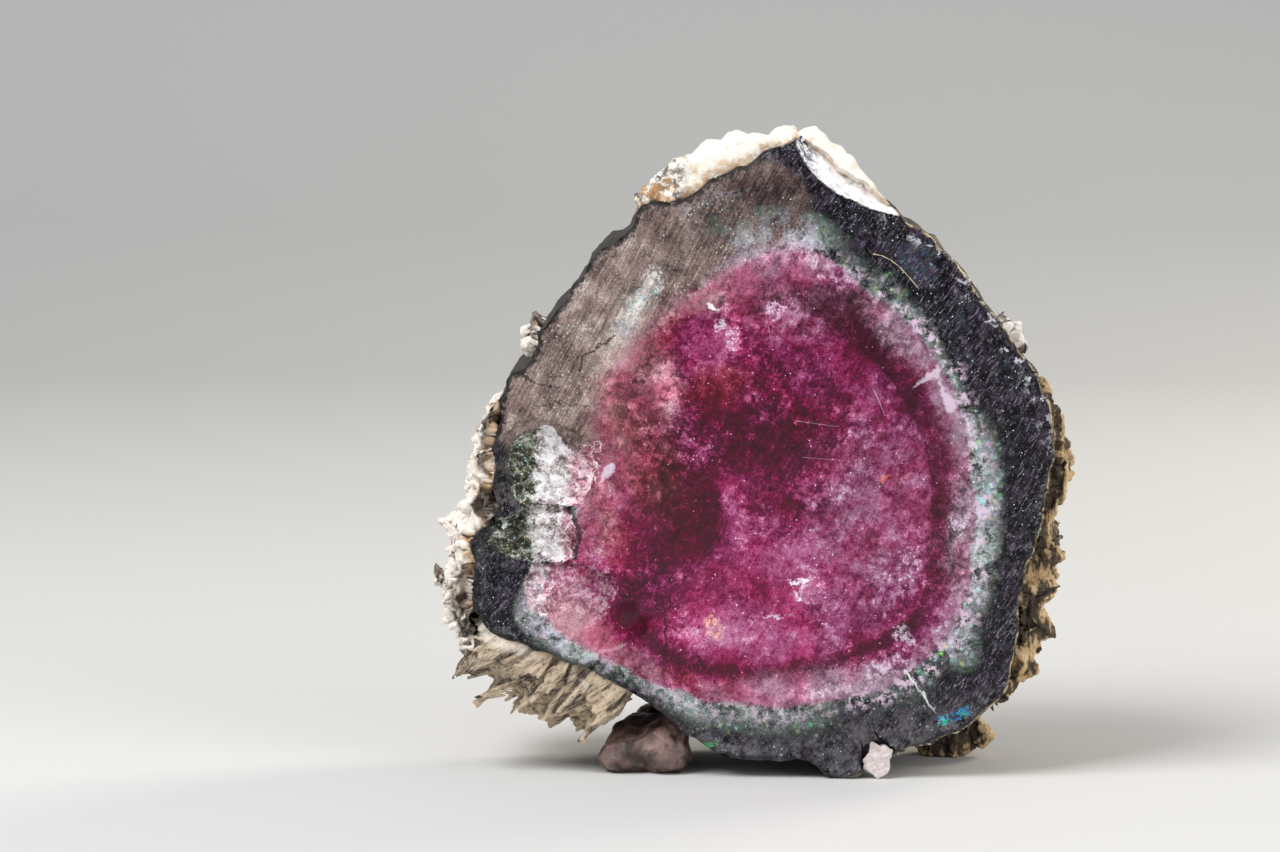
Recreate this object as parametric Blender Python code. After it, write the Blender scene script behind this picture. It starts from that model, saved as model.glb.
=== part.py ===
"""A slice of watermelon tourmaline that stands on its edge, with the rock that still clings to it.

The slice is one thick, sawn piece of a three-sided tourmaline prism. Around its side sit separate
patches of the rock that the crystal grew in: pale feldspar crust, a book of albite blades, and a few
knobs, three of which reach the ground and help the slice to stand.

Sizes are in millimetres, and MM turns them into Blender's metres. The polished face looks along -Y,
+X is on its viewer's right, and +Z is up. Angles are in degrees about the slice's heart, from +X
towards +Z.
"""

import math
import random

import bmesh
import bpy
from mathutils import Matrix, Vector, noise

MM = 0.001

# The tourmaline.
SLICE_THICKNESS = 11.0  # between the two sawn faces
CRYSTAL_HEIGHT = 35.4  # from the ground to the peak
AXIS_LEAN = -0.2  # how far the prism drifts to +X from the polished face to the sawn back
HEART_HEIGHT = 17.5  # the height of the point that the growth zones and the angles centre on
RIM_POINTS = 196  # points around the prism
STRIATION_DEPTH = 0.3  # the ridges that run along a tourmaline's sides
EDGE_CHIP = 0.28  # the worn edge between the sawn faces and the sides
SHOULDER_WEAR = 0.7  # how much more than that the left shoulder is worn
PEAK_BEVEL = 1.15  # the broad chip on the right of the peak
CHIP_CENTRE = (6.5, -5.35, 0.95)  # the white feldspar grain that is caught in the lower edge

# The rock that clings to it.
GAP = 0.1  # between the tourmaline and the rock, and between two patches of rock
FUSE_SIZE = 0.34  # the grain at which the lumps of one patch run into each other
ROOT = 1.2  # how far a lump reaches under the rim before the tourmaline is cut out of it
SAWN_BACK_INSET = 0.12  # the softer rock lies this far behind the polished and the sawn face

# The prism's outline on the polished face, clockwise from the peak. Two equal points are a corner.
RIM_KNOTS = (
    (2.1, 35.4), (4.7, 33.5), (7.6, 31.2), (10.2, 29.1), (12.3, 26.5), (14.1, 23.8), (15.7, 21.4),
    (16.1, 18.6), (15.6, 15.0), (14.6, 11.2), (14.0, 7.6), (13.8, 5.6), (12.9, 4.2), (10.7, 2.5),
    (7.8, 1.5), (6.3, 0.7), (5.3, 0.0), (5.3, 0.0), (3.6, 0.0), (3.6, 0.0), (2.6, 0.9), (-1.0, 1.0),
    (-3.8, 2.2), (-6.5, 4.4), (-9.4, 5.9), (-12.4, 7.1), (-15.0, 8.1), (-15.9, 9.6), (-15.9, 12.0),
    (-16.1, 13.4), (-15.4, 13.9), (-14.7, 14.4), (-14.75, 17.9), (-14.3, 21.0), (-13.9, 22.3),
    (-12.9, 23.1), (-12.4, 24.2), (-11.6, 25.7), (-10.2, 27.4), (-9.3, 29.0), (-8.0, 29.9),
    (-7.2, 30.5), (-6.6, 31.9), (-6.6, 31.9), (-4.6, 32.1), (-2.3, 33.4), (0.4, 34.8), (2.1, 35.4),
)  # fmt: skip

FRONT = -SLICE_THICKNESS / 2
BACK = SLICE_THICKNESS / 2


# ---------------------------------------------------------------- small helpers


def clear_scene():
    for obj in list(bpy.data.objects):
        bpy.data.objects.remove(obj)


def smoothstep(low, high, value):
    t = min(1.0, max(0.0, (value - low) / (high - low)))
    return t * t * (3 - 2 * t)


def stone(name, colour, roughness, transmission=0.0):
    material = bpy.data.materials.new(name)
    material.use_nodes = True
    surface = material.node_tree.nodes["Principled BSDF"]
    surface.inputs["Base Color"].default_value = (*colour, 1.0)
    surface.inputs["Roughness"].default_value = roughness
    surface.inputs["Transmission Weight"].default_value = transmission
    return material


def new_object(name, mesh_in_mm, material=None):
    """An object of a bmesh that was made in millimetres."""
    bmesh.ops.scale(mesh_in_mm, vec=(MM, MM, MM), verts=mesh_in_mm.verts)
    bmesh.ops.recalc_face_normals(mesh_in_mm, faces=mesh_in_mm.faces)
    mesh = bpy.data.meshes.new(name)
    mesh_in_mm.to_mesh(mesh)
    mesh_in_mm.free()
    obj = bpy.data.objects.new(name, mesh)
    if material:
        mesh.materials.append(material)
    bpy.context.scene.collection.objects.link(obj)
    return obj


def as_cutter(obj):
    obj.hide_render = True
    obj.display_type = "WIRE"
    return obj


def boolean(obj, operation, cutter):
    modifier = obj.modifiers.new(f"{operation.lower()} {cutter.name}", "BOOLEAN")
    modifier.operation = operation
    modifier.object = cutter


def apply_modifiers(obj):
    """Makes the object's mesh what its modifiers make of it."""
    graph = bpy.context.evaluated_depsgraph_get()
    shaped = bpy.data.meshes.new_from_object(obj.evaluated_get(graph))
    obj.modifiers.clear()
    obj.data = shaped


# ---------------------------------------------------------------- the prism's outline


def spline_point(p0, p1, p2, p3, t):
    """A point of the Catmull-Rom curve between p1 and p2."""
    return 0.5 * (
        2 * p1
        + (p2 - p0) * t
        + (2 * p0 - 5 * p1 + 4 * p2 - p3) * t * t
        + (3 * p1 - p0 - 3 * p2 + p3) * t * t * t
    )


def smooth_rim(steps=12):
    """The outline as a dense closed loop of (x, z), with a corner wherever two knots coincide."""
    scale = CRYSTAL_HEIGHT / max(z for _, z in RIM_KNOTS)
    knots = [Vector(knot) * scale for knot in RIM_KNOTS]
    last = len(knots) - 1
    loop = []
    for i in range(last):
        p1, p2 = knots[i], knots[i + 1]
        if p1 == p2:
            continue
        p0 = knots[i - 1] if i else p1
        p3 = knots[min(i + 2, last)]
        loop += [spline_point(p0, p1, p2, p3, step / steps) for step in range(steps)]
    return loop


def evenly(loop, count):
    """The closed loop again, with count points evenly spaced along it."""
    ends = loop[1:] + loop[:1]
    lengths = [(b - a).length for a, b in zip(loop, ends)]
    spacing = sum(lengths) / count
    points, travelled, target = [], 0.0, 0.0
    for a, b, length in zip(loop, ends, lengths):
        while len(points) < count and target < travelled + length:
            points.append(a.lerp(b, (target - travelled) / length))
            target += spacing
        travelled += length
    return points


HEART = Vector((0.0, HEART_HEIGHT))
RIM = evenly(smooth_rim(), RIM_POINTS)


def rim_radius(angle):
    """How far the rim is from the heart at an angle in degrees."""
    turn = math.radians(angle)
    ahead = Vector((math.cos(turn), math.sin(turn)))
    nearest = max(RIM, key=lambda p: (p - HEART).normalized().dot(ahead))
    return (nearest - HEART).length


def lean(y):
    """The prism's shift to +X at a depth y."""
    return AXIS_LEAN * (y - FRONT) / SLICE_THICKNESS


# ---------------------------------------------------------------- the tourmaline


def striated(point, y):
    """The rim point pushed in or out by the ridges along the prism, which change a little with depth."""
    angle = math.atan2(point.y - HEART.y, point.x)
    around = 17.0 * angle
    ridge = noise.noise(Vector((around, 0.05 * y, 3.0)))
    ridge += 0.5 * noise.noise(Vector((2.3 * around, 0.11 * y, 8.0)))
    still_at_the_foot = smoothstep(0.1, 2.0, point.y)
    outward = (point - HEART).normalized()
    return point + outward * ridge * STRIATION_DEPTH * still_at_the_foot


def worn_edge(point):
    """How far the worn edge reaches from the corner of the prism: more at the chip beside the peak."""
    ragged = EDGE_CHIP * (1 + 0.6 * noise.noise(Vector((point.x * 1.1, point.y * 1.1, 5.0))))
    along_chip = smoothstep(1.2, 2.4, point.x) * (1 - smoothstep(5.6, 7.8, point.x))
    above = smoothstep(30.5, 31.5, point.y)
    shoulder = smoothstep(22.5, 24.5, point.y) * smoothstep(6.2, 7.6, -point.x)
    ragged *= 1 + SHOULDER_WEAR * shoulder
    return ragged + (PEAK_BEVEL - EDGE_CHIP) * along_chip * above


def prism_ring(bm, y, inset_share=0.0, outset=0.0, depth_share=0.0):
    """One loop of vertices around the prism. The shares are of the worn edge's width."""
    ring = []
    for point in RIM:
        edge = worn_edge(point)
        place = striated(point, min(max(y, FRONT), BACK))
        outward = (place - HEART).normalized()
        place = place + outward * (outset - inset_share * edge)
        depth = y + depth_share * edge
        ring.append(bm.verts.new((place.x + lean(depth), depth, max(place.y, -outset))))
    return ring


def close_prism(bm, rings):
    for ring, after in zip(rings, rings[1:]):
        for i in range(RIM_POINTS):
            j = (i + 1) % RIM_POINTS
            bm.faces.new((ring[i], ring[j], after[j], after[i]))
    bm.faces.new(rings[0])
    bm.faces.new(rings[-1])


def scoop(name, centre, radii):
    """A shell-shaped break, as tourmaline chips: a flat ellipsoid that is cut from a face."""
    bm = bmesh.new()
    bmesh.ops.create_icosphere(bm, subdivisions=3, radius=1.0)
    for v in bm.verts:
        v.co *= 1 + 0.16 * noise.noise(v.co * 1.7 + Vector(centre))
    bmesh.ops.scale(bm, vec=radii, verts=bm.verts)
    bmesh.ops.translate(bm, vec=centre, verts=bm.verts)
    return as_cutter(new_object(name, bm))


def make_tourmaline():
    bm = bmesh.new()
    close_prism(
        bm,
        [
            prism_ring(bm, FRONT, inset_share=1.0),
            prism_ring(bm, FRONT, depth_share=1.0),
            prism_ring(bm, 0.0),
            prism_ring(bm, BACK, depth_share=-1.0),
            prism_ring(bm, BACK, inset_share=1.0),
        ],
    )
    slice_ = new_object("tourmaline_slice", bm, stone("tourmaline", (0.36, 0.06, 0.18), 0.22, 0.4))
    breaks = {
        "break_upper": ((-12.0, FRONT - 0.1, 17.0), (3.1, 0.75, 2.9)),
        "break_middle": ((-12.9, FRONT - 0.1, 12.0), (3.4, 0.7, 2.2)),
        "break_lower": ((-9.3, FRONT - 0.15, 9.2), (3.3, 0.6, 2.6)),
        "break_back_left": ((-10.5, BACK + 0.2, 24.5), (3.0, 0.8, 3.4)),
        "break_back_foot": ((5.8, BACK + 0.3, 3.0), (4.2, 1.1, 2.0)),
        "chip_seat": (CHIP_CENTRE, (1.05, 1.3, 1.35)),
    }
    for name, (centre, radii) in breaks.items():
        boolean(slice_, "DIFFERENCE", scoop(name, centre, radii))
    return slice_


def make_prism_cutter():
    """The tourmaline's prism, a gap wider all round, which is cut out of the rock."""
    bm = bmesh.new()
    beyond = 5.0
    depths = (FRONT - beyond, FRONT, 0.0, BACK, BACK + beyond)
    close_prism(bm, [prism_ring(bm, y, outset=GAP) for y in depths])
    return as_cutter(new_object("prism_cutter", bm))


# ---------------------------------------------------------------- the rock


def make_sector(name, start, end):
    """The room of one patch: from one angle to another, above the ground and between the sawn faces."""
    far, steps = 30.0, 12
    corners = [HEART.copy()]
    for step in range(steps + 1):
        turn = math.radians(start + (end - start) * step / steps)
        ahead = Vector((math.cos(turn), math.sin(turn)))
        reach = far if HEART.y + far * ahead.y > 0 else -HEART.y / ahead.y
        corners.append(HEART + ahead * reach)
    bm = bmesh.new()
    sides = []
    for y in (FRONT + SAWN_BACK_INSET, BACK - SAWN_BACK_INSET):
        sides.append([bm.verts.new((corner.x, y, max(0.0, corner.y))) for corner in corners])
    count = len(corners)
    for i in range(count):
        j = (i + 1) % count
        bm.faces.new((sides[0][i], sides[0][j], sides[1][j], sides[1][i]))
    bm.faces.new(sides[0])
    bm.faces.new(sides[1])
    return as_cutter(new_object(name, bm))


def add_lump(bm, centre, radii, turn):
    """An ellipsoid whose first radius points out of the prism, at an angle of turn degrees."""
    before = len(bm.verts)
    bmesh.ops.create_icosphere(bm, subdivisions=2, radius=1.0)
    bm.verts.ensure_lookup_table()
    new = bm.verts[before:]
    facing = Matrix.Rotation(-math.radians(turn), 3, "Y")
    for v in new:
        local = Vector((v.co.x * radii[0], v.co.y * radii[1], v.co.z * radii[2]))
        v.co = facing @ local + Vector(centre)


def add_blade(bm, root, direction, across, length, width, thickness):
    """A flat albite blade with a bevelled tip, from a point on its root along a direction."""
    ahead = Vector(direction).normalized()
    side = (Vector(across) - ahead * ahead.dot(Vector(across))).normalized()
    up = ahead.cross(side)
    loops = []
    for along, share in ((0.0, 1.0), (0.8, 0.95), (1.0, 0.55)):
        corners = ((-1, -1), (1, -1), (1, 1), (-1, 1))
        loops.append(
            [
                bm.verts.new(
                    Vector(root)
                    + ahead * along * length
                    + side * a * width / 2 * share
                    + up * b * thickness / 2 * share
                )
                for a, b in corners
            ]
        )
    faces = [bm.faces.new(loops[0][::-1]), bm.faces.new(loops[-1])]
    for low, high in zip(loops, loops[1:]):
        for i in range(4):
            j = (i + 1) % 4
            faces.append(bm.faces.new((low[i], low[j], high[j], high[i])))
    bmesh.ops.recalc_face_normals(bm, faces=faces)


def place_on_side(angle, outward, y):
    """A point at an angle about the heart, outward from the rim, at a depth y."""
    turn = math.radians(angle)
    out = rim_radius(angle) + outward
    return Vector((out * math.cos(turn) + lean(y), y, HEART.y + out * math.sin(turn)))


def along(values, share):
    """The value a share of the way along a list of evenly spaced values."""
    place = share * (len(values) - 1)
    low = min(int(place), len(values) - 2)
    return values[low] + (values[low + 1] - values[low]) * (place - low)


def fuse(bm, name, material, faces, rough, grain):
    """One solid of overlapping shapes: run together, roughened, and brought to a number of faces."""
    rock = new_object(name, bm, material)
    remesh = rock.modifiers.new("fuse", "REMESH")
    remesh.mode = "VOXEL"
    remesh.voxel_size = FUSE_SIZE * MM
    apply_modifiers(rock)
    offsets = []
    for v in rock.data.vertices:
        place = v.co / MM
        coarse = noise.noise(place / grain)
        fine = noise.noise(place * 2.1 / grain + Vector((7, 7, 7)))
        offsets.append(v.normal * (coarse + 0.6 * fine) * rough * MM)
    for v, offset in zip(rock.data.vertices, offsets):
        v.co += offset
    decimate = rock.modifiers.new("fewer faces", "DECIMATE")
    decimate.ratio = min(1.0, faces / (2 * len(rock.data.polygons)))
    apply_modifiers(rock)
    return rock


def keep_largest(obj):
    """Drops the crumbs that a cut leaves beside the main piece."""
    bm = bmesh.new()
    bm.from_mesh(obj.data)
    unseen, islands = set(bm.verts), []
    while unseen:
        island, front = set(), [unseen.pop()]
        while front:
            v = front.pop()
            island.add(v)
            near = {edge.other_vert(v) for edge in v.link_edges} & unseen
            unseen -= near
            front += near
        islands.append(island)
    islands.sort(key=len)
    bmesh.ops.delete(bm, geom=[v for island in islands[:-1] for v in island], context="VERTS")
    bm.to_mesh(obj.data)
    bm.free()


def fit_to_room(rock, prism_cutter, start, end):
    """Cuts a patch to its sector, and the tourmaline out of it."""
    boolean(rock, "INTERSECT", make_sector(f"{rock.name}_room", start, end))
    if prism_cutter:
        boolean(rock, "DIFFERENCE", prism_cutter)
    apply_modifiers(rock)
    keep_largest(rock)
    rock.data.shade_smooth()
    rock.data.set_sharp_from_angle(angle=math.radians(32))
    return rock


def crust(name, material, prism_cutter, start, end, reaches, depths, lump, faces, seed, rough=0.2, extra=()):
    """A patch with ragged borders, from one angle to another, that stands out from the rim by the reaches.

    lump holds each lump's radius along the prism, its radius around it, and how far it may tilt.
    """
    picks = random.Random(seed)
    bm = bmesh.new()
    deep, wide, tilt = lump
    length = math.radians(end - start) * rim_radius((start + end) / 2)
    stations = max(2, round(length / wide))
    for i in range(stations + 1):
        share = i / stations
        angle = start + (end - start) * share
        front = depths[0] + picks.uniform(0.0, 0.9)
        back = depths[1] - picks.uniform(0.0, 1.3)
        rows = max(1, round((back - front) / (deep * 1.15)))
        for row in range(rows + 1):
            y = front + (back - front) * row / rows
            reach = along(reaches, share) * picks.uniform(0.55, 1.12)
            out = (reach + ROOT) / 2
            radii = (out, deep * picks.uniform(0.75, 1.2), wide * picks.uniform(0.65, 1.0))
            turn = angle + picks.uniform(-tilt, tilt)
            add_lump(bm, place_on_side(angle, out - ROOT, y), radii, turn)
    for centre, radius in extra:
        add_lump(bm, centre, (radius, radius, radius), 0.0)
    rock = fuse(bm, name, material, faces, rough, grain=1.5)
    return fit_to_room(rock, prism_cutter, start - 3, end + 3)


def blade_book(name, material, prism_cutter, start, end, reaches, depths, faces, seed):
    """A thick book of albite: thin blades that all point to the lower left, rooted in a low bank."""
    picks = random.Random(seed)
    bm = bmesh.new()
    front, back = depths
    stations = 15
    for i in range(stations):
        share = i / (stations - 1)
        angle = start + (end - start) * share
        reach = along(reaches, share)
        bank = (reach * 0.62 + ROOT) / 2
        for y in (front + 0.9, -1.3, 1.2, back - 0.9):
            add_lump(bm, place_on_side(angle, bank - ROOT, y), (bank, 1.5, 1.0), angle)
        for y in (front + 1.2, -0.6, back - 1.2):
            turn = math.radians(angle - picks.uniform(4, 16))
            ahead = (math.cos(turn), picks.uniform(-0.12, 0.12), math.sin(turn))
            root = place_on_side(angle + 2, -ROOT * 0.5, y + picks.uniform(-0.7, 0.7))
            length = (reach + ROOT) * picks.uniform(0.74, 1.02)
            add_blade(bm, root, ahead, (0.0, 1.0, 0.0), length, picks.uniform(2.0, 3.6), 0.5)
    rock = fuse(bm, name, material, faces, rough=0.07, grain=0.9)
    return fit_to_room(rock, prism_cutter, start - 3, end + 3)


def knob(name, material, prism_cutter, room, lumps, faces, rough=0.2):
    """A knob of a few rounded lumps, each a centre and three radii."""
    bm = bmesh.new()
    for centre, radii in lumps:
        add_lump(bm, centre, radii, 0.0)
    rock = fuse(bm, name, material, faces, rough, grain=1.2)
    return fit_to_room(rock, prism_cutter, *room)


# Small dark nodules that crowd the left end of the top crust: a centre and a radius each.
NODULES = (
    ((-6.0, -4.6, 32.5), 0.55), ((-5.5, -4.5, 33.1), 0.5), ((-4.9, -4.3, 33.5), 0.55),
    ((-6.0, -3.2, 32.6), 0.55), ((-5.3, -2.9, 33.2), 0.6), ((-4.3, -4.4, 33.9), 0.5),
    ((-5.9, -1.6, 32.7), 0.6), ((-4.9, -1.4, 33.4), 0.65),
)  # fmt: skip


def make_rock(prism_cutter):
    cream = stone("cream_feldspar", (0.83, 0.77, 0.66), 0.75)
    tan = stone("tan_crust", (0.55, 0.43, 0.28), 0.8)
    blades = stone("albite_blades", (0.56, 0.45, 0.35), 0.65)
    grey = stone("grey_quartz", (0.42, 0.36, 0.35), 0.45)
    white = stone("white_feldspar", (0.85, 0.82, 0.8), 0.5)
    rounded, flaky = (1.5, 1.5, 12), (1.5, 0.85, 38)
    return [
        crust("top_crust", cream, prism_cutter, 66, 114,
              (0.3, 0.7, 1.1, 0.9, 0.6, 1.4, 2.3, 2.2, 1.3, 0.6), (-4.9, 4.6), rounded, 1100,
              seed=3, rough=0.14, extra=NODULES),
        crust("upper_right_flake", tan, prism_cutter, 21, 29, (0.6, 1.1, 0.8), (0.2, 4.4), flaky, 160, seed=5),
        crust("right_crust", tan, prism_cutter, -47, 14,
              (0.9, 1.6, 2.5, 2.5, 2.2, 2.4, 1.1, 1.6, 1.5, 1.1, 0.7), (-3.6, 4.6), flaky, 1350, seed=8),
        crust("left_crust", cream, prism_cutter, 169, 207,
              (1.1, 1.8, 1.7, 2.2, 1.9, 2.0, 2.3, 2.9), (-4.6, 4.6), flaky, 1200, seed=13),
        crust("upper_left_flake", cream, prism_cutter, 150, 157, (0.7, 1.1, 0.8), (0.3, 4.4), rounded, 140, seed=4),
        blade_book("albite_blades", blades, prism_cutter, 213.5, 238,
                   (3.6, 4.2, 4.3, 4.6, 4.4, 4.0), (-4.6, 4.2), 1400, seed=21),
        knob("grey_foot", grey, prism_cutter, (241.5, 262),
             [((-7.6, -2.6, 1.1), (2.0, 2.2, 1.4)), ((-5.4, -3.0, 1.3), (1.6, 2.0, 1.7)),
              ((-6.5, 0.4, 1.2), (2.3, 2.4, 1.6)), ((-5.8, 3.0, 1.5), (1.7, 1.8, 1.6))], 420),
        knob("white_chip", white, None, (280, 300),
             [(CHIP_CENTRE, (0.72, 0.95, 0.98)), (CHIP_CENTRE, (0.55, 0.6, 1.05))], 140, rough=0.08),
        knob("rear_foot", tan, prism_cutter, (295.5, 309),
             [((10.4, 3.2, 0.9), (1.9, 1.9, 1.5)), ((12.0, 2.6, 1.7), (1.4, 1.6, 1.3))], 300),
    ]  # fmt: skip


# ---------------------------------------------------------------- the whole object


def centre_on_origin(pieces):
    """Moves the pieces so that the middle of the object's footprint is the origin."""
    bpy.context.view_layer.update()
    graph = bpy.context.evaluated_depsgraph_get()
    corners = [Vector(c) for piece in pieces for c in piece.evaluated_get(graph).bound_box]
    for axis in (0, 1):
        values = [corner[axis] for corner in corners]
        middle = (min(values) + max(values)) / 2
        for obj in bpy.data.objects:
            obj.location[axis] -= middle


def main():
    clear_scene()
    tourmaline = make_tourmaline()
    rock = make_rock(make_prism_cutter())
    centre_on_origin([tourmaline, *rock])


main()
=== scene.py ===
# %% [markdown]
# # A slice of watermelon tourmaline
#
# Tourmaline grows as a long three-sided prism. Its colour follows what the hot water around it carried
# at the time, so a slice sawn across the prism shows rings: pink at the heart, a pale translucent ring
# around that, and a green so deep at the rim that it looks black. This slice stands on its edge, and
# some of the rock that it grew in still clings to its sides.
#
# The script takes the solid model as its frame, replaces each of its plain solids by a finely shaped
# one, and gives each the finish of its mineral.

import math
import random

import bmesh
import bpy
import numpy as np
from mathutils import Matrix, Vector, noise
from mathutils.bvhtree import BVHTree


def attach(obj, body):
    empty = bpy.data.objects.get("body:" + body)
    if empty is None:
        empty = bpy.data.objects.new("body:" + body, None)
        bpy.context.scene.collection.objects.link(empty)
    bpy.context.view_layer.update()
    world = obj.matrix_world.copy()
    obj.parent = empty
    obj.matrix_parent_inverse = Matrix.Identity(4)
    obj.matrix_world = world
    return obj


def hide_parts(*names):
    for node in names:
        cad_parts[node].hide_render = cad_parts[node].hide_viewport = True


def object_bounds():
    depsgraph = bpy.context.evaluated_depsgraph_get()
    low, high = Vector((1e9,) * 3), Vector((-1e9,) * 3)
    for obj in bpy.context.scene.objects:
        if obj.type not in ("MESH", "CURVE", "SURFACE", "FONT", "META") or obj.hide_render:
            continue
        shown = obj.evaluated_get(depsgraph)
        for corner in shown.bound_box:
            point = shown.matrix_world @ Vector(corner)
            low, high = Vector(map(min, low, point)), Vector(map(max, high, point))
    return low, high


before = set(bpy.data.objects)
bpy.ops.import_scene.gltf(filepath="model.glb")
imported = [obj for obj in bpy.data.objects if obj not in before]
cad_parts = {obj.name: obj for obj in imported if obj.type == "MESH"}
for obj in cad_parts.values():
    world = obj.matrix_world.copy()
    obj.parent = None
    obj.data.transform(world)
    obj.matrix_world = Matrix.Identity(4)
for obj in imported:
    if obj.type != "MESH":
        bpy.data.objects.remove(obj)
noise.seed_set(7)  # without it noise_vector gives other values on every run
cad_low, cad_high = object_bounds()
MM = 0.001
FRONT, BACK = cad_low.y / MM, cad_high.y / MM
print("the solid model measures", [round(side / MM, 2) for side in cad_high - cad_low], "mm")

# %% [markdown]
# ## Measuring from the solid model
#
# Every finely shaped piece has to sit exactly where its plain solid is. A tree of the solid's faces
# answers two questions quickly: where does a ray first meet the solid, and which point of it is
# nearest? Everything below is worked out in millimetres, because that is how one thinks about a stone
# that is 36 mm high.


# %% Trees of the plain solids
def plain_solid(node):
    """The places, in millimetres, and the faces of one plain solid."""
    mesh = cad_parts[node].data
    return [vertex.co / MM for vertex in mesh.vertices], [list(face.vertices) for face in mesh.polygons]


def solid_tree(node):
    """One plain solid, ready for rays and for nearest points."""
    return BVHTree.FromPolygons(*plain_solid(node))


CRYSTAL = solid_tree("tourmaline_slice")
HEART_X, HEART_Z = 0.7, 17.5
print("rays meet the crystal's front at y =", round(CRYSTAL.ray_cast((0, -20, 15), (0, 1, 0))[0].y, 3))

# %% [markdown]
# ## Drawing the growth zones
#
# On the real slice the zones are the crystal's history. Each one could be painted as an image, but a
# script has none. Instead each zone's border is a closed curve through a few points, and every point of
# the mesh stores how many millimetres it lies inside or outside that curve. The finish can then put a
# colour at "1.2 mm outside the heart", and make the border as ragged as it likes by adding noise to
# that distance. A curve is a short list of (x, z) points, smoothed by a Catmull-Rom spline.


# %% Closed curves and distances to them
def smooth_loop(points, steps=6):
    """A closed Catmull-Rom curve through (x, z) points, as an array."""
    knots = np.array(points, dtype=float)
    t = np.linspace(0, 1, steps, endpoint=False)[:, None]
    pieces = []
    for i in range(len(knots)):
        p0, p1, p2, p3 = (knots[(i + k) % len(knots)] for k in (-1, 0, 1, 2))
        pieces.append(
            0.5
            * (
                2 * p1
                + (p2 - p0) * t
                + (2 * p0 - 5 * p1 + 4 * p2 - p3) * t**2
                + (3 * p1 - p0 - 3 * p2 + p3) * t**3
            )
        )
    return np.concatenate(pieces)


def distance_inside(places, loop):
    """How far each (x, z) place lies inside a closed loop, in mm. Outside it is negative."""
    start, end = loop, np.roll(loop, -1, axis=0)
    nearest = np.full(len(places), 1e9)
    crossings = np.zeros(len(places), dtype=int)
    for a, b in zip(start, end):
        edge = b - a
        along = np.clip(((places - a) @ edge) / max(edge @ edge, 1e-12), 0, 1)
        gap = np.hypot(*(places - a - along[:, None] * edge).T)
        nearest = np.minimum(nearest, gap)
        straddles = (a[1] > places[:, 1]) != (b[1] > places[:, 1])
        rise = edge[1] if edge[1] else 1e-12
        meets = a[0] + (places[:, 1] - a[1]) / rise * edge[0]
        crossings += straddles & (places[:, 0] < meets)
    return np.where(crossings % 2 == 1, nearest, -nearest)


def spots(places, ellipses):
    """The sum of soft ellipses, each (x, z, radius along, radius across, turn in degrees, strength)."""
    total = np.zeros(len(places))
    for x, z, long, short, turn, strength in ellipses:
        c, s = math.cos(math.radians(turn)), math.sin(math.radians(turn))
        dx, dz = places[:, 0] - x, places[:, 1] - z
        share = ((dx * c + dz * s) / long) ** 2 + ((dz * c - dx * s) / short) ** 2
        total += strength * np.exp(-(share**1.5))
    return np.clip(total, -1, 1)


# %% [markdown]
# ## The zones of this slice
#
# The heart is a rounded triangle, a little flatter at the lower left. A second curve inside it is the
# ring where growth paused: outside it the pink is darker. Soft ellipses say where the heart throws
# light back (a strength above 0) or lets it sink in (below 0), where it is milky with veils of tiny
# bubbles, where it is warm and red, and where it is greyed by mist. Others say where the dark rim gleams
# blue and where the pale ring shows rainbow colours. Small closed curves mark a deep dark pit in the
# heart, the shell-shaped breaks at the left and the broad chip beside the peak. All of this is drawn in
# mm from a plumb line near the middle.

# %% The curves of the heart
PLUMB = 0.37  # where the plumb line stands on the polished face
DRIFT = -0.2  # how far the prism drifts to +X from the polished face to the sawn back
HEART = smooth_loop(
    [
        (1.7, 29.6), (3.9, 28.6), (6.0, 27.1), (8.0, 25.4), (9.5, 23.6), (10.6, 21.6), (11.4, 19.2),
        (11.8, 16.6), (11.9, 13.8), (11.7, 11.2), (11.0, 9.0), (9.8, 7.2), (8.0, 5.7), (5.4, 4.7),
        (2.2, 4.0), (-0.6, 4.0), (-3.3, 4.4), (-5.6, 5.2), (-7.7, 6.2), (-9.9, 7.3), (-11.8, 9.0),
        (-11.6, 11.4), (-10.3, 13.9), (-9.8, 16.1), (-9.3, 18.3), (-9.2, 20.2), (-8.7, 22.2),
        (-7.3, 24.1), (-5.5, 25.8), (-3.4, 27.4), (-1.0, 28.9),
    ]  # fmt: skip
)
PAUSE = smooth_loop(
    [
        (3.2, 25.6), (5.2, 24.1), (6.7, 22.8), (8.1, 20.7), (9.2, 18.1), (9.5, 15.4), (9.4, 12.6),
        (9.0, 10.2), (8.0, 8.9), (5.5, 7.5), (1.9, 6.6), (-2.2, 6.4), (-4.9, 7.3), (-6.4, 9.4),
        (-7.6, 12.4), (-8.0, 15.6), (-7.6, 19.2), (-6.0, 22.4), (-3.4, 24.6), (0.2, 25.9),
    ]  # fmt: skip
)
print("two curves with", len(HEART), "and", len(PAUSE), "points")

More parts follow.
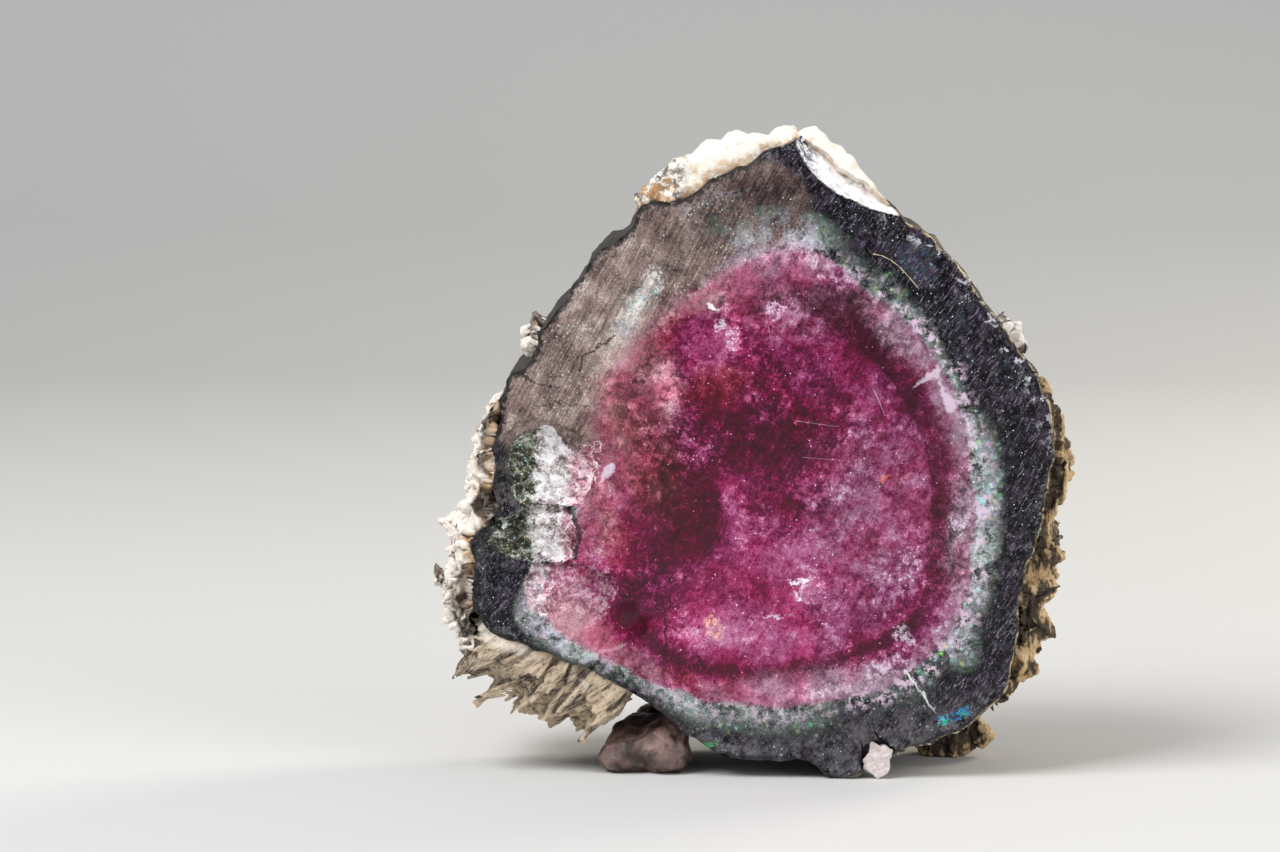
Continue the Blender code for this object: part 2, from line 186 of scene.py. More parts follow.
# %% Cloudy and clear places
LIGHT = [
    (1.1, 28.2, 3.4, 1.1, -8, 0.08), (1.8, 26.1, 1.2, 0.8, 0, 0.3), (1.4, 23.4, 2.2, 0.9, 0, -0.3),
    (-1.9, 26.0, 1.6, 1.5, 0, 0.05), (4.3, 26.0, 2.4, 1.5, -40, -0.62), (6.1, 24.0, 1.5, 1.0, -45, -0.4),
    (7.9, 21.6, 2.4, 0.8, -60, -0.35), (9.8, 15.4, 0.6, 5.4, -2, -0.06),
    (-5.1, 24.6, 2.4, 0.9, 40, -0.15), (-5.2, 21.8, 0.8, 1.6, 15, 0.25),
    (-7.0, 22.6, 1.6, 1.0, 55, -0.25), (-1.6, 21.9, 2.4, 1.0, 5, -0.2), (-3.1, 18.9, 2.2, 2.4, 10, -0.5),
    (0.9, 18.9, 2.8, 2.6, -12, -0.75), (-4.6, 14.4, 3.0, 2.3, 22, -0.35),
    (-2.6, 13.8, 1.0, 1.8, 10, -0.3), (5.2, 20.9, 4.0, 2.2, -15, -0.1), (6.1, 13.6, 3.4, 4.2, 0, 0.06),
    (8.2, 11.8, 0.9, 2.7, -5, 0.12), (-1.3, 14.8, 0.7, 2.4, 12, 0.4), (0.8, 15.2, 1.9, 0.6, -10, -0.4),
    (3.9, 15.0, 1.4, 0.6, 0, -0.25), (2.0, 11.8, 2.0, 2.1, 0, 0.25), (2.6, 11.2, 0.6, 0.9, 20, 0.2),
    (-3.6, 8.4, 2.1, 1.2, 0, 0.5), (0.5, 8.1, 3.0, 1.5, -4, 0.3), (-6.6, 10.4, 2.3, 2.6, 30, -0.34),
    (-6.0, 18.6, 1.8, 3.4, 5, -0.25), (-4.0, 6.7, 2.2, 0.55, -14, -0.3), (3.0, 4.8, 6.0, 0.8, 6, 0.22),
    (-0.6, 5.0, 5.2, 0.6, -2, 0.22), (-7.0, 9.2, 1.6, 1.6, 20, -0.25), (-10.6, 8.6, 2.2, 1.4, -35, 0.55),
    (10.2, 9.2, 1.2, 1.6, 25, 0.3), (-8.4, 17.6, 1.2, 3.6, 8, 0.15), (-7.9, 23.0, 2.6, 0.9, 55, 0.3),
    (-8.4, 12.2, 1.4, 1.6, 0, 0.3), (6.9, 25.4, 2.2, 1.0, -42, 0.06), (3.4, 22.2, 2.2, 0.7, -25, -0.2),
    (0.4, 32.6, 5.0, 1.7, 8, -0.5), (-8.6, 27.2, 3.6, 1.6, 50, 0.3), (-8.4, 23.9, 1.4, 2.0, 40, 0.35),
    (-12.4, 20.8, 2.0, 1.6, 0, 0.25), (-6.9, 26.0, 2.2, 0.8, 57, 0.45),
]  # fmt: skip
VEILS = [
    (-5.2, 21.7, 0.8, 1.9, 24, 0.85), (-3.2, 18.7, 1.9, 1.7, 8, 0.45), (1.1, 20.3, 1.9, 0.9, -15, 0.5),
    (1.2, 25.2, 1.6, 0.9, 10, 0.25), (-6.6, 19.9, 0.4, 1.4, 26, 0.7), (2.4, 10.9, 1.0, 1.5, 25, 0.3),
    (8.3, 11.6, 0.8, 2.8, -4, 0.45), (6.4, 11.4, 1.6, 2.2, 20, 0.25), (7.2, 6.6, 1.9, 0.7, 32, 0.9),
    (2.9, 4.9, 1.8, 0.5, 8, 0.8), (-1.9, 26.4, 0.5, 1.6, -12, 0.6), (5.6, 18.4, 2.2, 1.8, 0, 0.3),
    (-1.4, 24.6, 0.6, 1.2, -8, 0.7), (4.2, 27.9, 2.4, 0.6, -36, 0.6), (10.9, 14.2, 0.5, 2.4, 0, 0.8),
    (-8.3, 15.2, 0.7, 1.4, 8, 0.55), (1.2, 29.0, 3.4, 0.7, -4, 0.6), (-8.6, 22.2, 0.8, 1.6, 30, 0.4),
]  # fmt: skip
EMBERS = [
    (-2.2, 21.9, 2.4, 1.3, 8, 0.8), (-8.2, 20.6, 1.0, 2.2, 20, 0.9), (-8.0, 13.4, 1.2, 2.0, 10, 0.7),
    (7.6, 16.8, 0.9, 0.7, 0, 0.5), (-2.4, 8.3, 0.7, 0.6, 0, 0.6), (-4.2, 5.6, 1.8, 0.6, -20, 0.6),
    (-5.6, 24.6, 2.6, 1.0, 45, 0.7), (-6.2, 18.4, 1.8, 3.8, 5, 0.55), (-5.0, 15.6, 2.4, 3.0, 0, 0.4),
    (7.2, 24.4, 1.6, 0.8, -45, 0.4),
]  # fmt: skip
MIST = [
    (7.4, 25.0, 3.8, 1.2, -47, 0.7), (10.4, 20.4, 0.9, 2.6, 18, 0.6), (11.2, 13.6, 1.0, 6.0, -3, 0.7),
    (9.8, 7.4, 1.9, 0.9, 48, 0.6), (3.0, 5.1, 7.0, 1.3, 5, 0.9), (-2.6, 27.4, 3.6, 1.2, 28, 0.75),
    (1.4, 28.8, 3.0, 0.8, -6, 0.6), (-8.6, 19.4, 1.8, 4.6, 8, 0.7), (-9.4, 14.4, 1.4, 3.0, 0, 0.55),
    (-7.2, 24.4, 2.8, 1.4, 52, 0.7), (-10.2, 8.6, 2.6, 1.6, -40, 0.9), (-6.6, 6.4, 2.2, 0.8, -30, 0.6),
    (6.4, 15.0, 4.6, 7.5, 0, 0.42), (-6.4, 22.4, 2.4, 2.0, 50, 0.5), (-5.6, 17.6, 1.8, 3.6, 5, 0.4),
    (1.0, 26.6, 4.4, 2.6, -10, 0.55), (-5.2, 21.8, 1.2, 2.2, 20, 0.5),
]  # fmt: skip
GLEAMS = [
    (3.6, 31.2, 2.0, 1.2, -30, 0.5), (8.4, 29.0, 1.2, 1.4, -40, 0.9), (11.2, 25.6, 0.9, 1.6, -30, 0.7),
    (13.2, 22.4, 0.8, 1.2, 0, 0.5), (-13.6, 9.6, 1.0, 2.0, 10, 0.5), (9.2, 28.2, 1.6, 0.7, -45, 0.6),
    (-1.0, 1.6, 5.0, 0.8, 0, 0.4),
]  # fmt: skip
FIRE = [
    (12.3, 16.4, 0.9, 1.9, 0, 1.0), (12.5, 18.6, 0.8, 1.2, 0, 0.8), (10.6, 6.6, 1.4, 1.4, 0, 0.8),
    (-6.4, 26.9, 1.6, 1.4, 30, 0.8), (-4.6, 28.6, 1.6, 0.8, 30, 0.8), (-3.0, 2.6, 2.0, 0.9, 0, 0.7),
    (6.6, 27.6, 1.6, 0.8, -40, 0.5), (11.8, 10.4, 0.8, 2.2, 0, 0.5), (3.6, 2.6, 2.4, 0.8, 0, 0.4),
    (-12.6, 13.2, 0.8, 0.8, 0, 0.5),
]  # fmt: skip
print(len(LIGHT + VEILS + EMBERS + MIST + GLEAMS + FIRE), "soft places")

# %% The pit, the breaks and the chip
PIT = smooth_loop(
    [
        (-2.0, 15.8), (-2.05, 14.6), (-2.2, 13.2), (-2.9, 12.1), (-4.2, 11.4), (-6.0, 11.2), (-7.4, 12.4),
        (-7.6, 14.6), (-6.4, 16.6), (-4.4, 17.6), (-2.7, 17.2),
    ], steps=4  # fmt: skip
)
BREAK_TOP = smooth_loop(
    [
        (-12.4, 19.3), (-11.6, 19.6), (-10.9, 18.8), (-10.1, 18.0), (-9.5, 18.6), (-8.7, 18.7),
        (-8.8, 17.2), (-9.4, 16.0), (-9.9, 15.2), (-10.8, 15.1), (-12.2, 15.2), (-13.2, 15.3),
        (-13.8, 16.6), (-13.6, 18.6),
    ], steps=4  # fmt: skip
)
BREAK_MIDDLE = smooth_loop(
    [
        (-12.6, 15.1), (-10.6, 15.0), (-10.0, 13.2), (-10.2, 12.2), (-11.3, 12.0), (-12.6, 12.0),
        (-13.6, 12.2), (-14.9, 13.0), (-14.6, 14.2), (-13.4, 14.7),
    ], steps=4  # fmt: skip
)
BREAK_LOW = smooth_loop(
    [
        (-12.4, 11.7), (-10.4, 12.0), (-8.1, 11.2), (-8.1, 10.0), (-8.9, 8.7), (-9.6, 8.4), (-10.6, 9.4),
        (-11.2, 8.9), (-12.4, 9.2), (-13.0, 10.4),
    ], steps=4  # fmt: skip
)
BEVEL = smooth_loop(
    [
        (1.9, 35.3), (2.6, 35.5), (3.9, 34.6), (5.1, 33.6), (6.4, 32.4), (7.8, 31.2), (6.2, 31.5),
        (5.1, 32.0), (3.9, 32.6), (2.6, 33.8),
    ], steps=4  # fmt: skip
)
print("small curves with", [len(loop) for loop in (PIT, BREAK_TOP, BREAK_MIDDLE, BREAK_LOW, BEVEL)], "points")

# %% [markdown]
# ## The crystal's shape
#
# The crystal could be the plain solid with a subdivision modifier, but its faces are long and thin, and
# subdividing would round every edge. A net drawn for this shape does better: rings of vertices around
# the heart on the polished face, more rings along the sides, and rings on the sawn back. Each vertex of
# the net is put where a ray meets the plain solid, so the shape stays the solid's, and then gets the
# small relief that is too fine for the solid: terraces in the shell-shaped breaks, chips along the
# edge, and the ridges that every tourmaline has along its sides.

# %% Where the net's vertices go
AROUND = 600
INNER_RINGS, EDGE_RINGS, SIDE_RINGS = 90, 16, 20
BACK_INNER, BACK_EDGE = 12, 6
EDGE_BAND = 1.6  # mm of the face that has the closely spaced rings
FIRST_RING = 0.06  # of the way from the middle to that band
LAST_INSET = 0.05  # mm from a sawn face's last ring to the side
FIRST_STEP = 0.06  # mm from that ring to the first ring of the side, along the prism
FRONT_WALL, BACK_WALL = 1.25, 0.6  # mm behind each sawn face, where the distance to the side is taken
FAR = 20  # mm before or behind the stone's middle, where rays into the sawn faces start
TURNS = np.arange(AROUND) * 2 * math.pi / AROUND


def wall_radius(turn, y):
    """How far the crystal's side is from the middle in one direction, at one depth."""
    c, s = math.cos(turn), math.sin(turn)
    hit = CRYSTAL.ray_cast((HEART_X + 40 * c, y, HEART_Z + 40 * s), (-c, 0, -s))[0]
    return math.hypot(hit.x - HEART_X, hit.z - HEART_Z)


def face_depth(x, z, y_from, fallback):
    """Where a ray straight into a sawn face meets it."""
    hit = CRYSTAL.ray_cast((x, y_from, z), (0, -math.copysign(1, y_from), 0))[0]
    return hit.y if hit else fallback


def ring_insets(inner, edge):
    """Rings from the middle outward: a share of the way to the edge band, then mm from the wall."""
    shares = [(FIRST_RING + (1 - FIRST_RING) * k / (inner - 1), None) for k in range(inner)]
    return shares + [(None, EDGE_BAND * (1 - (k + 1) / edge) + LAST_INSET) for k in range(edge)]


def face_rings(y_wall, y_from, inner, edge):
    """The rings of one sawn face, each AROUND points long, from the middle outward."""
    walls = [wall_radius(turn, y_wall) for turn in TURNS]
    flat = math.copysign(BACK, y_from)
    rings = []
    for share, inset in ring_insets(inner, edge):
        ring = []
        for turn, wall in zip(TURNS, walls):
            radius = share * (wall - EDGE_BAND) if share is not None else wall - inset
            x, z = HEART_X + radius * math.cos(turn), HEART_Z + radius * math.sin(turn)
            ring.append((x, face_depth(x, z, y_from, flat), z))
        rings.append(ring)
    return rings


front_rings = face_rings(FRONT + FRONT_WALL, -FAR, INNER_RINGS, EDGE_RINGS)
back_rings = face_rings(BACK - BACK_WALL, FAR, BACK_INNER, BACK_EDGE)
side_rings = []
for k in range(SIDE_RINGS):
    share = k / (SIDE_RINGS - 1)
    ring = []
    for i, turn in enumerate(TURNS):
        start, end = front_rings[-1][i][1] + FIRST_STEP, back_rings[-1][i][1] - FIRST_STEP
        y = start + (end - start) * (0.5 - 0.5 * math.cos(math.pi * share) if k else 0)
        radius = wall_radius(turn, y)
        ring.append((HEART_X + radius * math.cos(turn), y, HEART_Z + radius * math.sin(turn)))
    side_rings.append(ring)
net = front_rings + side_rings + back_rings[::-1]
print(len(net), "rings of", AROUND, "vertices")

# %% Relief on the sawn faces
RIM = smooth_loop([(x - PLUMB, z) for x, _, z in side_rings[1]][::5], steps=2)
FOOT = 0.35  # mm above the ground where the relief has faded out


def section_of(places):
    """Places anywhere in the prism as (x, z) in the drawing, with the prism's drift taken out."""
    x, y, z = np.array(places).reshape(-1, 3).T
    return np.column_stack([x - PLUMB - DRIFT * (y - FRONT) / (BACK - FRONT), z])


def soft_step(value, low, high):
    t = min(1.0, max(0.0, (value - low) / (high - low)))
    return t * t * (3 - 2 * t)


def rough(x, z, scale, seed, detail=0.5):
    """Noise over the face at one scale, with some at a finer one."""
    coarse = noise.noise(Vector((scale * x, seed, scale * z)))
    return coarse + detail * noise.noise(Vector((2.7 * scale * x, seed + 3, 2.7 * scale * z)))


def chipped_edge(x, z, inside, seed):
    """Small bites out of the edge of a sawn face, deepest at the rim."""
    if inside > 1.1:
        return 0.0
    return max(0.0, rough(x, z, 1.3, seed) - 0.05) * 0.42 * (1 - max(inside, 0.0) / 1.1) ** 2


def steps(x, z, seed):
    """Curved steps such as a broken tourmaline has, from 0 to 1."""
    level = 2.2 * rough(x, z, 0.45, seed, 0.3) + 0.9 * (x + z) * 0.3
    return 0.5 * soft_step(level % 1.0, 0.7, 0.95) + 0.25 * rough(x, z, 1.9, seed)


def break_depth(x, z, insides):
    """How deep the three breaks go below the polished face: a wall at the border, then steps."""
    depth = 0.0
    for inside, wall, seed in zip(insides, (0.3, 0.42, 0.36), (2.0, 5.0, 8.0)):
        edge = inside + 0.12 * rough(x, z, 2.2, seed)
        depth = max(depth, soft_step(edge, -0.06, 0.2) * (wall + 0.22 * steps(x, z, seed)))
    return depth


print("the rim's curve has", len(RIM), "points")


# %% The ridges, and the whole net with its relief
def ridges(turn, y):
    """The ridges along the prism: they hardly change with depth."""
    out = 0.055 * noise.noise(Vector((34 * turn, 0.05 * y, 2.0)))
    out += 0.035 * noise.noise(Vector((90 * turn, 0.12 * y, 6.0)))
    return out - 0.035


def finely_shaped(ring_index, i, place, inside, breaks):
    """One vertex of the net with its relief added, in mm."""
    x, y, z = place
    still = soft_step(z, 0.0, FOOT)
    fronts, sides = len(front_rings), len(front_rings) + len(side_rings)
    if ring_index < fronts:
        depth = chipped_edge(x, z, inside, 1.0) + 0.008 * abs(rough(x, z, 2.2, 0.0))
        return x, y + (depth + break_depth(x, z, breaks) * soft_step(inside, -0.1, 0.5)) * still, z
    if ring_index >= sides:
        return x, y - (chipped_edge(x, z, inside, 7.0) + 0.02 * abs(rough(x, z, 1.2, 5.0))) * still, z
    turn = TURNS[i]
    out = ridges(turn, y) * still
    worn = min(1.0, (y - net[fronts][i][1]) / 0.5) if ring_index > fronts else 0.0
    out += 0.05 * noise.noise(Vector((1.7 * x, 1.7 * y, 1.7 * z))) * worn * still - 0.02 * still
    return x + out * math.cos(turn), y, z + out * math.sin(turn)


flat_net = np.array(net).reshape(-1, 3)
drawn = section_of(flat_net)
inside_rim = distance_inside(drawn, RIM)
BREAKS = (BREAK_TOP, BREAK_MIDDLE, BREAK_LOW)
insides = np.column_stack([distance_inside(drawn, loop) for loop in BREAKS])
shaped = [
    finely_shaped(*divmod(n, AROUND), place, inside_rim[n], insides[n])
    for n, place in enumerate(flat_net)
]
farthest = np.abs(np.array(shaped) - flat_net).max()
print("the relief moves vertices by up to", round(float(farthest), 2), "mm")

# %% The crystal's mesh
def net_faces(rings, around):
    """Quads between neighbouring rings, and a fan at each end."""
    faces = []
    for r in range(rings - 1):
        for i in range(around):
            j = (i + 1) % around
            a, b = r * around, (r + 1) * around
            faces.append((a + i, b + i, b + j, a + j))
    return faces


def mesh_piece(name, places, faces, plain):
    """A piece from places in mm, which rides on the object's one body and replaces its plain solid."""
    mesh = bpy.data.meshes.new(name)
    mesh.from_pydata([Vector(place) * MM for place in places], [], faces)
    piece = bpy.data.objects.new(name, mesh)
    bpy.context.scene.collection.objects.link(piece)
    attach(piece, "root")
    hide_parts(plain)
    return piece


quads = net_faces(len(net), AROUND)
first, last = len(shaped), len(shaped) + 1
places = shaped + [(HEART_X, FRONT, HEART_Z), (HEART_X, BACK, HEART_Z)]
end_ring = (len(net) - 1) * AROUND
fans = [(first, i, (i + 1) % AROUND) for i in range(AROUND)]
fans += [(last, end_ring + (i + 1) % AROUND, end_ring + i) for i in range(AROUND)]
crystal = mesh_piece("watermelon_tourmaline", places, quads + fans, "tourmaline_slice")
FACE_QUADS = (len(front_rings) - 1) * AROUND
SIDE_QUADS = (len(front_rings) + len(side_rings)) * AROUND
print(crystal.name, "has", len(quads) * 2 + len(fans), "triangles")

# %% [markdown]
# ## Fields on the crystal
#
# A field is one number for each vertex, which the finish reads by name. Distances are stored in
# millimetres. Because the zones run along the prism like the letters in a stick of rock, the same
# fields serve the polished face, the sides and the sawn back.

# %% Storing the fields
SATIN = [
    (-9.6, 25.0, 8.0, 3.0, 52, 1.0), (-3.6, 30.6, 5.0, 2.6, 30, 1.0), (-12.6, 21.4, 2.6, 2.4, 60, 1.0),
    (-9.9, 19.0, 1.3, 1.5, 0, 1.0), (0.4, 31.6, 2.6, 2.4, 0, 0.9), (-6.4, 27.6, 6.0, 2.0, 45, 0.6),
    (-11.4, 21.0, 2.4, 1.4, 10, 0.8),
]  # fmt: skip
FRINGE = [
    (0.4, 30.5, 4.2, 1.6, 0, 1.4), (-6.6, 26.6, 2.8, 1.0, 50, 0.9), (-7.6, 24.9, 1.2, 0.8, 40, 0.7),
    (6.6, 27.8, 3.2, 1.1, -44, 0.5), (12.3, 14.6, 1.4, 6.0, -3, 1.12), (11.2, 7.4, 1.2, 2.4, 30, 0.85),
    (8.6, 4.6, 2.6, 1.0, 36, 0.55), (0.6, 3.0, 5.6, 1.4, -4, 0.65), (-5.0, 4.8, 2.6, 0.9, -38, 0.7),
    (-9.2, 19.3, 0.7, 1.6, 30, 0.4), (-11.6, 17.2, 1.6, 2.2, 15, 0.9), (-11.3, 13.6, 2.2, 1.3, 0, 1.0),
    (-12.0, 10.2, 1.4, 1.8, -10, 0.9), (-10.4, 7.2, 3.2, 1.4, -35, 0.9), (-12.8, 9.4, 0.8, 1.2, -10, 0.8),
    (10.6, 21.0, 0.9, 2.8, 22, 0.55), (8.9, 24.8, 1.6, 1.0, -50, 0.4),
]  # fmt: skip
section = section_of(places)


def store(piece, name, values):
    """Keeps one number for each vertex of a piece, under a name."""
    field = piece.data.attributes.new(name, "FLOAT", "POINT")
    field.data.foreach_set("value", np.asarray(values, dtype=np.float32))


borders = {"inside_heart": HEART, "inside_pause": PAUSE, "inside_rim": RIM, "inside_pit": PIT}
borders |= {"break_top": BREAK_TOP, "break_middle": BREAK_MIDDLE, "break_low": BREAK_LOW, "bevel": BEVEL}
clouds = {"light": LIGHT, "veil": VEILS, "ember": EMBERS, "satin": SATIN, "fringe": FRINGE}
clouds |= {"mist": MIST, "gleam": GLEAMS, "fire": FIRE}
fields = {name: distance_inside(section, loop) for name, loop in borders.items()}
fields |= {name: spots(section, ellipses) for name, ellipses in clouds.items()}
for name, values in fields.items():
    store(crystal, name, values)
    print(f"{name}: {values.min():.2f} to {values.max():.2f}")

# %% [markdown]
# ## Writing finishes as sums
#
# A finish is a tree of nodes. Wiring dozens of Math nodes by hand hides the idea behind the wires, so a
# small class wraps an output socket and lets ordinary operators add the nodes: `1 - mask * 0.5` is two
# Math nodes. A second class holds the tree and has one method that adds any other node from its type,
# its settings and what goes into its sockets.


# %% Shader maths with ordinary operators
class Amount:
    """A number that varies over a surface: the output of a node, with arithmetic."""

    def __init__(self, finish, socket):
        self.finish, self.socket = finish, socket

    def maths(self, operation, *others):
        values = [self, *others]
        node = self.finish.add("ShaderNodeMath", {"operation": operation}, dict(enumerate(values)))
        return Amount(self.finish, node.outputs[0])

    def __add__(self, other):
        return self.maths("ADD", other)

    def __sub__(self, other):
        return self.maths("SUBTRACT", other)

    def __rsub__(self, other):
        return self * -1.0 + other

    def __mul__(self, other):
        return self.maths("MULTIPLY", other)

    def __truediv__(self, other):
        return self.maths("DIVIDE", other)

    __radd__, __rmul__ = __add__, __mul__

    def above(self, low, high):
        """0 below low, 1 above high, and a smooth rise between them. The other way if low > high."""
        ends = {"From Min": min(low, high), "From Max": max(low, high)}
        ends |= {"To Min": 0.0, "To Max": 1.0} if low < high else {"To Min": 1.0, "To Max": 0.0}
        smooth = {"interpolation_type": "SMOOTHSTEP"}
        node = self.finish.add("ShaderNodeMapRange", smooth, {"Value": self, **ends})
        return Amount(self.finish, node.outputs[0])

    def around(self, middle, width):
        """1 at the middle value, and 0 from the width on either side."""
        return (self - middle).maths("ABSOLUTE").above(width, 0.0)

    def kept(self):
        """The number, held between 0 and 1."""
        return self.maths("MAXIMUM", 0.0).maths("MINIMUM", 1.0)


print("operators:", [name for name in vars(Amount) if name.endswith(("add__", "sub__", "mul__", "div__"))])


# %% A finish, and the stone's patterns
PATTERNS = {  # features per mm, octaves, how strong the fine octaves are, and the twist
    "waves": (0.5, 2.0, 0.55, 0.0),
    "billows": (0.5, 5.0, 0.7, 0.8),
    "tufts": (1.1, 4.0, 0.7, 0.0),
    "haze": (1.3, 5.0, 0.78, 0.0),
    "mottling": (1.7, 5.0, 0.76, 0.4),
    "scales": (2.2, 4.0, 0.75, 0.6),
    "crumbs": (3.0, 4.0, 0.65, 0.0),
    "speckle": (4.0, 4.0, 0.7, 0.0),
    "powder": (8.0, 2.0, 0.8, 0.0),
}


class Finish:
    """A material's tree, with short ways to say what a stone's surface needs."""

    def __init__(self, name):
        self.material = bpy.data.materials.new(name)
        self.material.use_nodes = True
        self.tree = self.material.node_tree
        self.tree.nodes.clear()
        here = self.add("ShaderNodeTexCoord").outputs["Object"]
        self.place = self.scaled(here, (1 / MM,) * 3)
        self.drawn = self.vector("SUBTRACT", self.scaled(self.place, (1, 0, 1)), (PLUMB, 0, 0))
        self.made = {}

    def add(self, kind, settings=None, inputs=None):
        """A node of that kind. The settings come first, because they can change its sockets."""
        node = self.tree.nodes.new(kind)
        for setting, value in (settings or {}).items():
            setattr(node, setting, value)
        for key, value in (inputs or {}).items():
            socket = node.inputs[key]
            source = value.socket if isinstance(value, Amount) else value
            if isinstance(source, bpy.types.NodeSocket):
                self.tree.links.new(source, socket)
            elif hasattr(socket.default_value, "__len__") and len(socket.default_value) == 4:
                socket.default_value = (*source[:3], 1.0)
            else:
                socket.default_value = source
        return node

    def field(self, name):
        """A number that is stored on the mesh."""
        node = self.add("ShaderNodeAttribute", {"attribute_name": name})
        return Amount(self, node.outputs["Fac"])

    def axis(self, letter):
        """One coordinate of the place, in mm."""
        return Amount(self, self.add("ShaderNodeSeparateXYZ", None, {0: self.place}).outputs[letter])

    def vector(self, operation, *vectors):
        """Vector maths. A dot product or a length comes out as an amount."""
        node = self.add("ShaderNodeVectorMath", {"operation": operation}, dict(enumerate(vectors)))
        return Amount(self, node.outputs[1]) if operation in ("DOT_PRODUCT", "LENGTH") else node.outputs[0]

    def scaled(self, vector, factors):
        return self.vector("MULTIPLY", vector, factors)

    def stirred(self, name, start, scale, detail, rough, most):
        """A place moved about by noise, which makes borders ragged. It is made once for each name."""
        if name not in self.made:
            ins = {"Vector": start, "Scale": scale, "Detail": detail, "Roughness": rough}
            noisy = self.add("ShaderNodeTexNoise", None, ins).outputs["Color"]
            shift = self.scaled(self.vector("SUBTRACT", noisy, (0.5, 0.5, 0.5)), most)
            self.made[name] = self.vector("ADD", start, shift)
        return self.made[name]

    def wavy(self):
        """The place in the drawing, moved about by a few tenths of a millimetre at most."""
        return self.stirred("wavy", self.drawn, 2.4, 5.0, 0.7, (0.9, 0, 0.9))

    def jagged(self):
        """The place in mm with small sudden shifts."""
        return self.stirred("jagged", self.place, 3.0, 6.0, 0.75, (0.8, 0.8, 0.8))

    def stroke(self, points, width, wavy=True, taper=0.0):
        """1 along a line through (x, z) points of the drawing, and 0 from the width on."""
        nearest = None
        for (x0, z0), (x1, z1) in zip(points, points[1:]):
            run = Vector((x1 - x0, 0, z1 - z0))
            here = self.vector("SUBTRACT", self.wavy() if wavy else self.drawn, (x0, 0, z0))
            share = self.vector("DOT_PRODUCT", here, tuple(run / run.length_squared)).kept()
            gap = self.vector("LENGTH", self.vector("SUBTRACT", here, self.times(tuple(run), share)))
            gap = gap + share * (width * taper) if taper else gap
            nearest = nearest.maths("MINIMUM", gap) if nearest else gap
        return nearest.above(width, width * 0.55)

    def ramp(self, amount, *stops):
        """A colour for each level of an amount, with the colours between them blended."""
        node = self.add("ShaderNodeValToRGB", None, {0: amount})
        band = node.color_ramp
        while len(band.elements) < len(stops):
            band.elements.new(0.5)
        for element, (level, colour) in zip(band.elements, stops):
            element.position, element.color = level, (*colour, 1.0)
        return node.outputs[0]

    def turned(self, degrees, factors):
        """The place in mm, turned about Y and then stretched, for streaks that run one way."""
        if (degrees, factors) not in self.made:
            ins = {"Vector": self.place, "Axis": (0, 1, 0), "Angle": math.radians(degrees)}
            node = self.add("ShaderNodeVectorRotate", {"rotation_type": "AXIS_ANGLE"}, ins)
            self.made[degrees, factors] = self.scaled(node.outputs[0], factors)
        return self.made[degrees, factors]

    def texture(self, kind, inputs, output, settings=None):
        """A texture's output. Asking for the same texture twice gives the same node."""
        key = str((kind, inputs, settings))
        if key not in self.made:
            self.made[key] = self.add(kind, settings, inputs)
        return Amount(self, self.made[key].outputs[output])

    def cloud(self, scale, detail=4.0, rough=0.55, where=None, twist=0.0):
        """Soft noise around 0.5. The scale is in features per mm."""
        ins = {"Vector": where or self.place, "Scale": scale, "Detail": detail}
        return self.texture("ShaderNodeTexNoise", ins | {"Roughness": rough, "Distortion": twist}, "Fac")

    def pattern(self, name):
        """One of the noises that the finishes share."""
        scale, detail, rough, twist = PATTERNS[name]
        return self.cloud(scale, detail, rough, twist=twist)

    def cells(self, scale, where=None, output="Distance"):
        """Round grains: the distance from the nearest one's middle, or a colour for each of them."""
        ins = {"Vector": where or self.place, "Scale": scale}
        return self.texture("ShaderNodeTexVoronoi", ins, output)

    def shards(self, scale):
        """One level between 0 and 1 for each of many angular patches, as tiny cracks give."""
        return self.cells(scale, self.jagged(), "Color")

    def seams(self, scale):
        """1 on the thin ragged borders between angular patches."""
        ins = {"Vector": self.jagged(), "Scale": scale}
        gap = self.texture("ShaderNodeTexVoronoi", ins, "Distance", {"feature": "DISTANCE_TO_EDGE"})
        return gap.above(0.07, 0.0)

    def blend(self, share, first, second):
        """The first colour, and as much of the second as the share says."""
        ins = {0: share, 6: first, 7: second}
        return self.add("ShaderNodeMix", {"data_type": "RGBA"}, ins).outputs[2]

    def times(self, vector, amount):
        """A vector or a colour times a number."""
        ins = {0: vector, "Scale": amount}
        return self.add("ShaderNodeVectorMath", {"operation": "SCALE"}, ins).outputs[0]

    def bumps(self, height, depth):
        """A surface normal from a height. The depth is in mm."""
        ins = {"Height": height, "Strength": 1.0, "Distance": depth * MM}
        return self.add("ShaderNodeBump", None, ins).outputs[0]

    def surface(self, **sockets):
        """A Principled surface. Each keyword is a socket's name with _ for the spaces."""
        ins = {name.replace("_", " "): value for name, value in sockets.items()}
        return self.add("ShaderNodeBsdfPrincipled", None, ins).outputs[0]

    def tourmaline(self, shine, **sockets):
        """A surface that refracts as tourmaline does, with its mirror image as strong as `shine` says."""
        return self.surface(IOR=1.62, Specular_IOR_Level=shine, **sockets)

    def done(self, surface):
        self.add("ShaderNodeOutputMaterial", None, {"Surface": surface})
        return self.material


print("a finish can use", len(PATTERNS), "shared patterns")
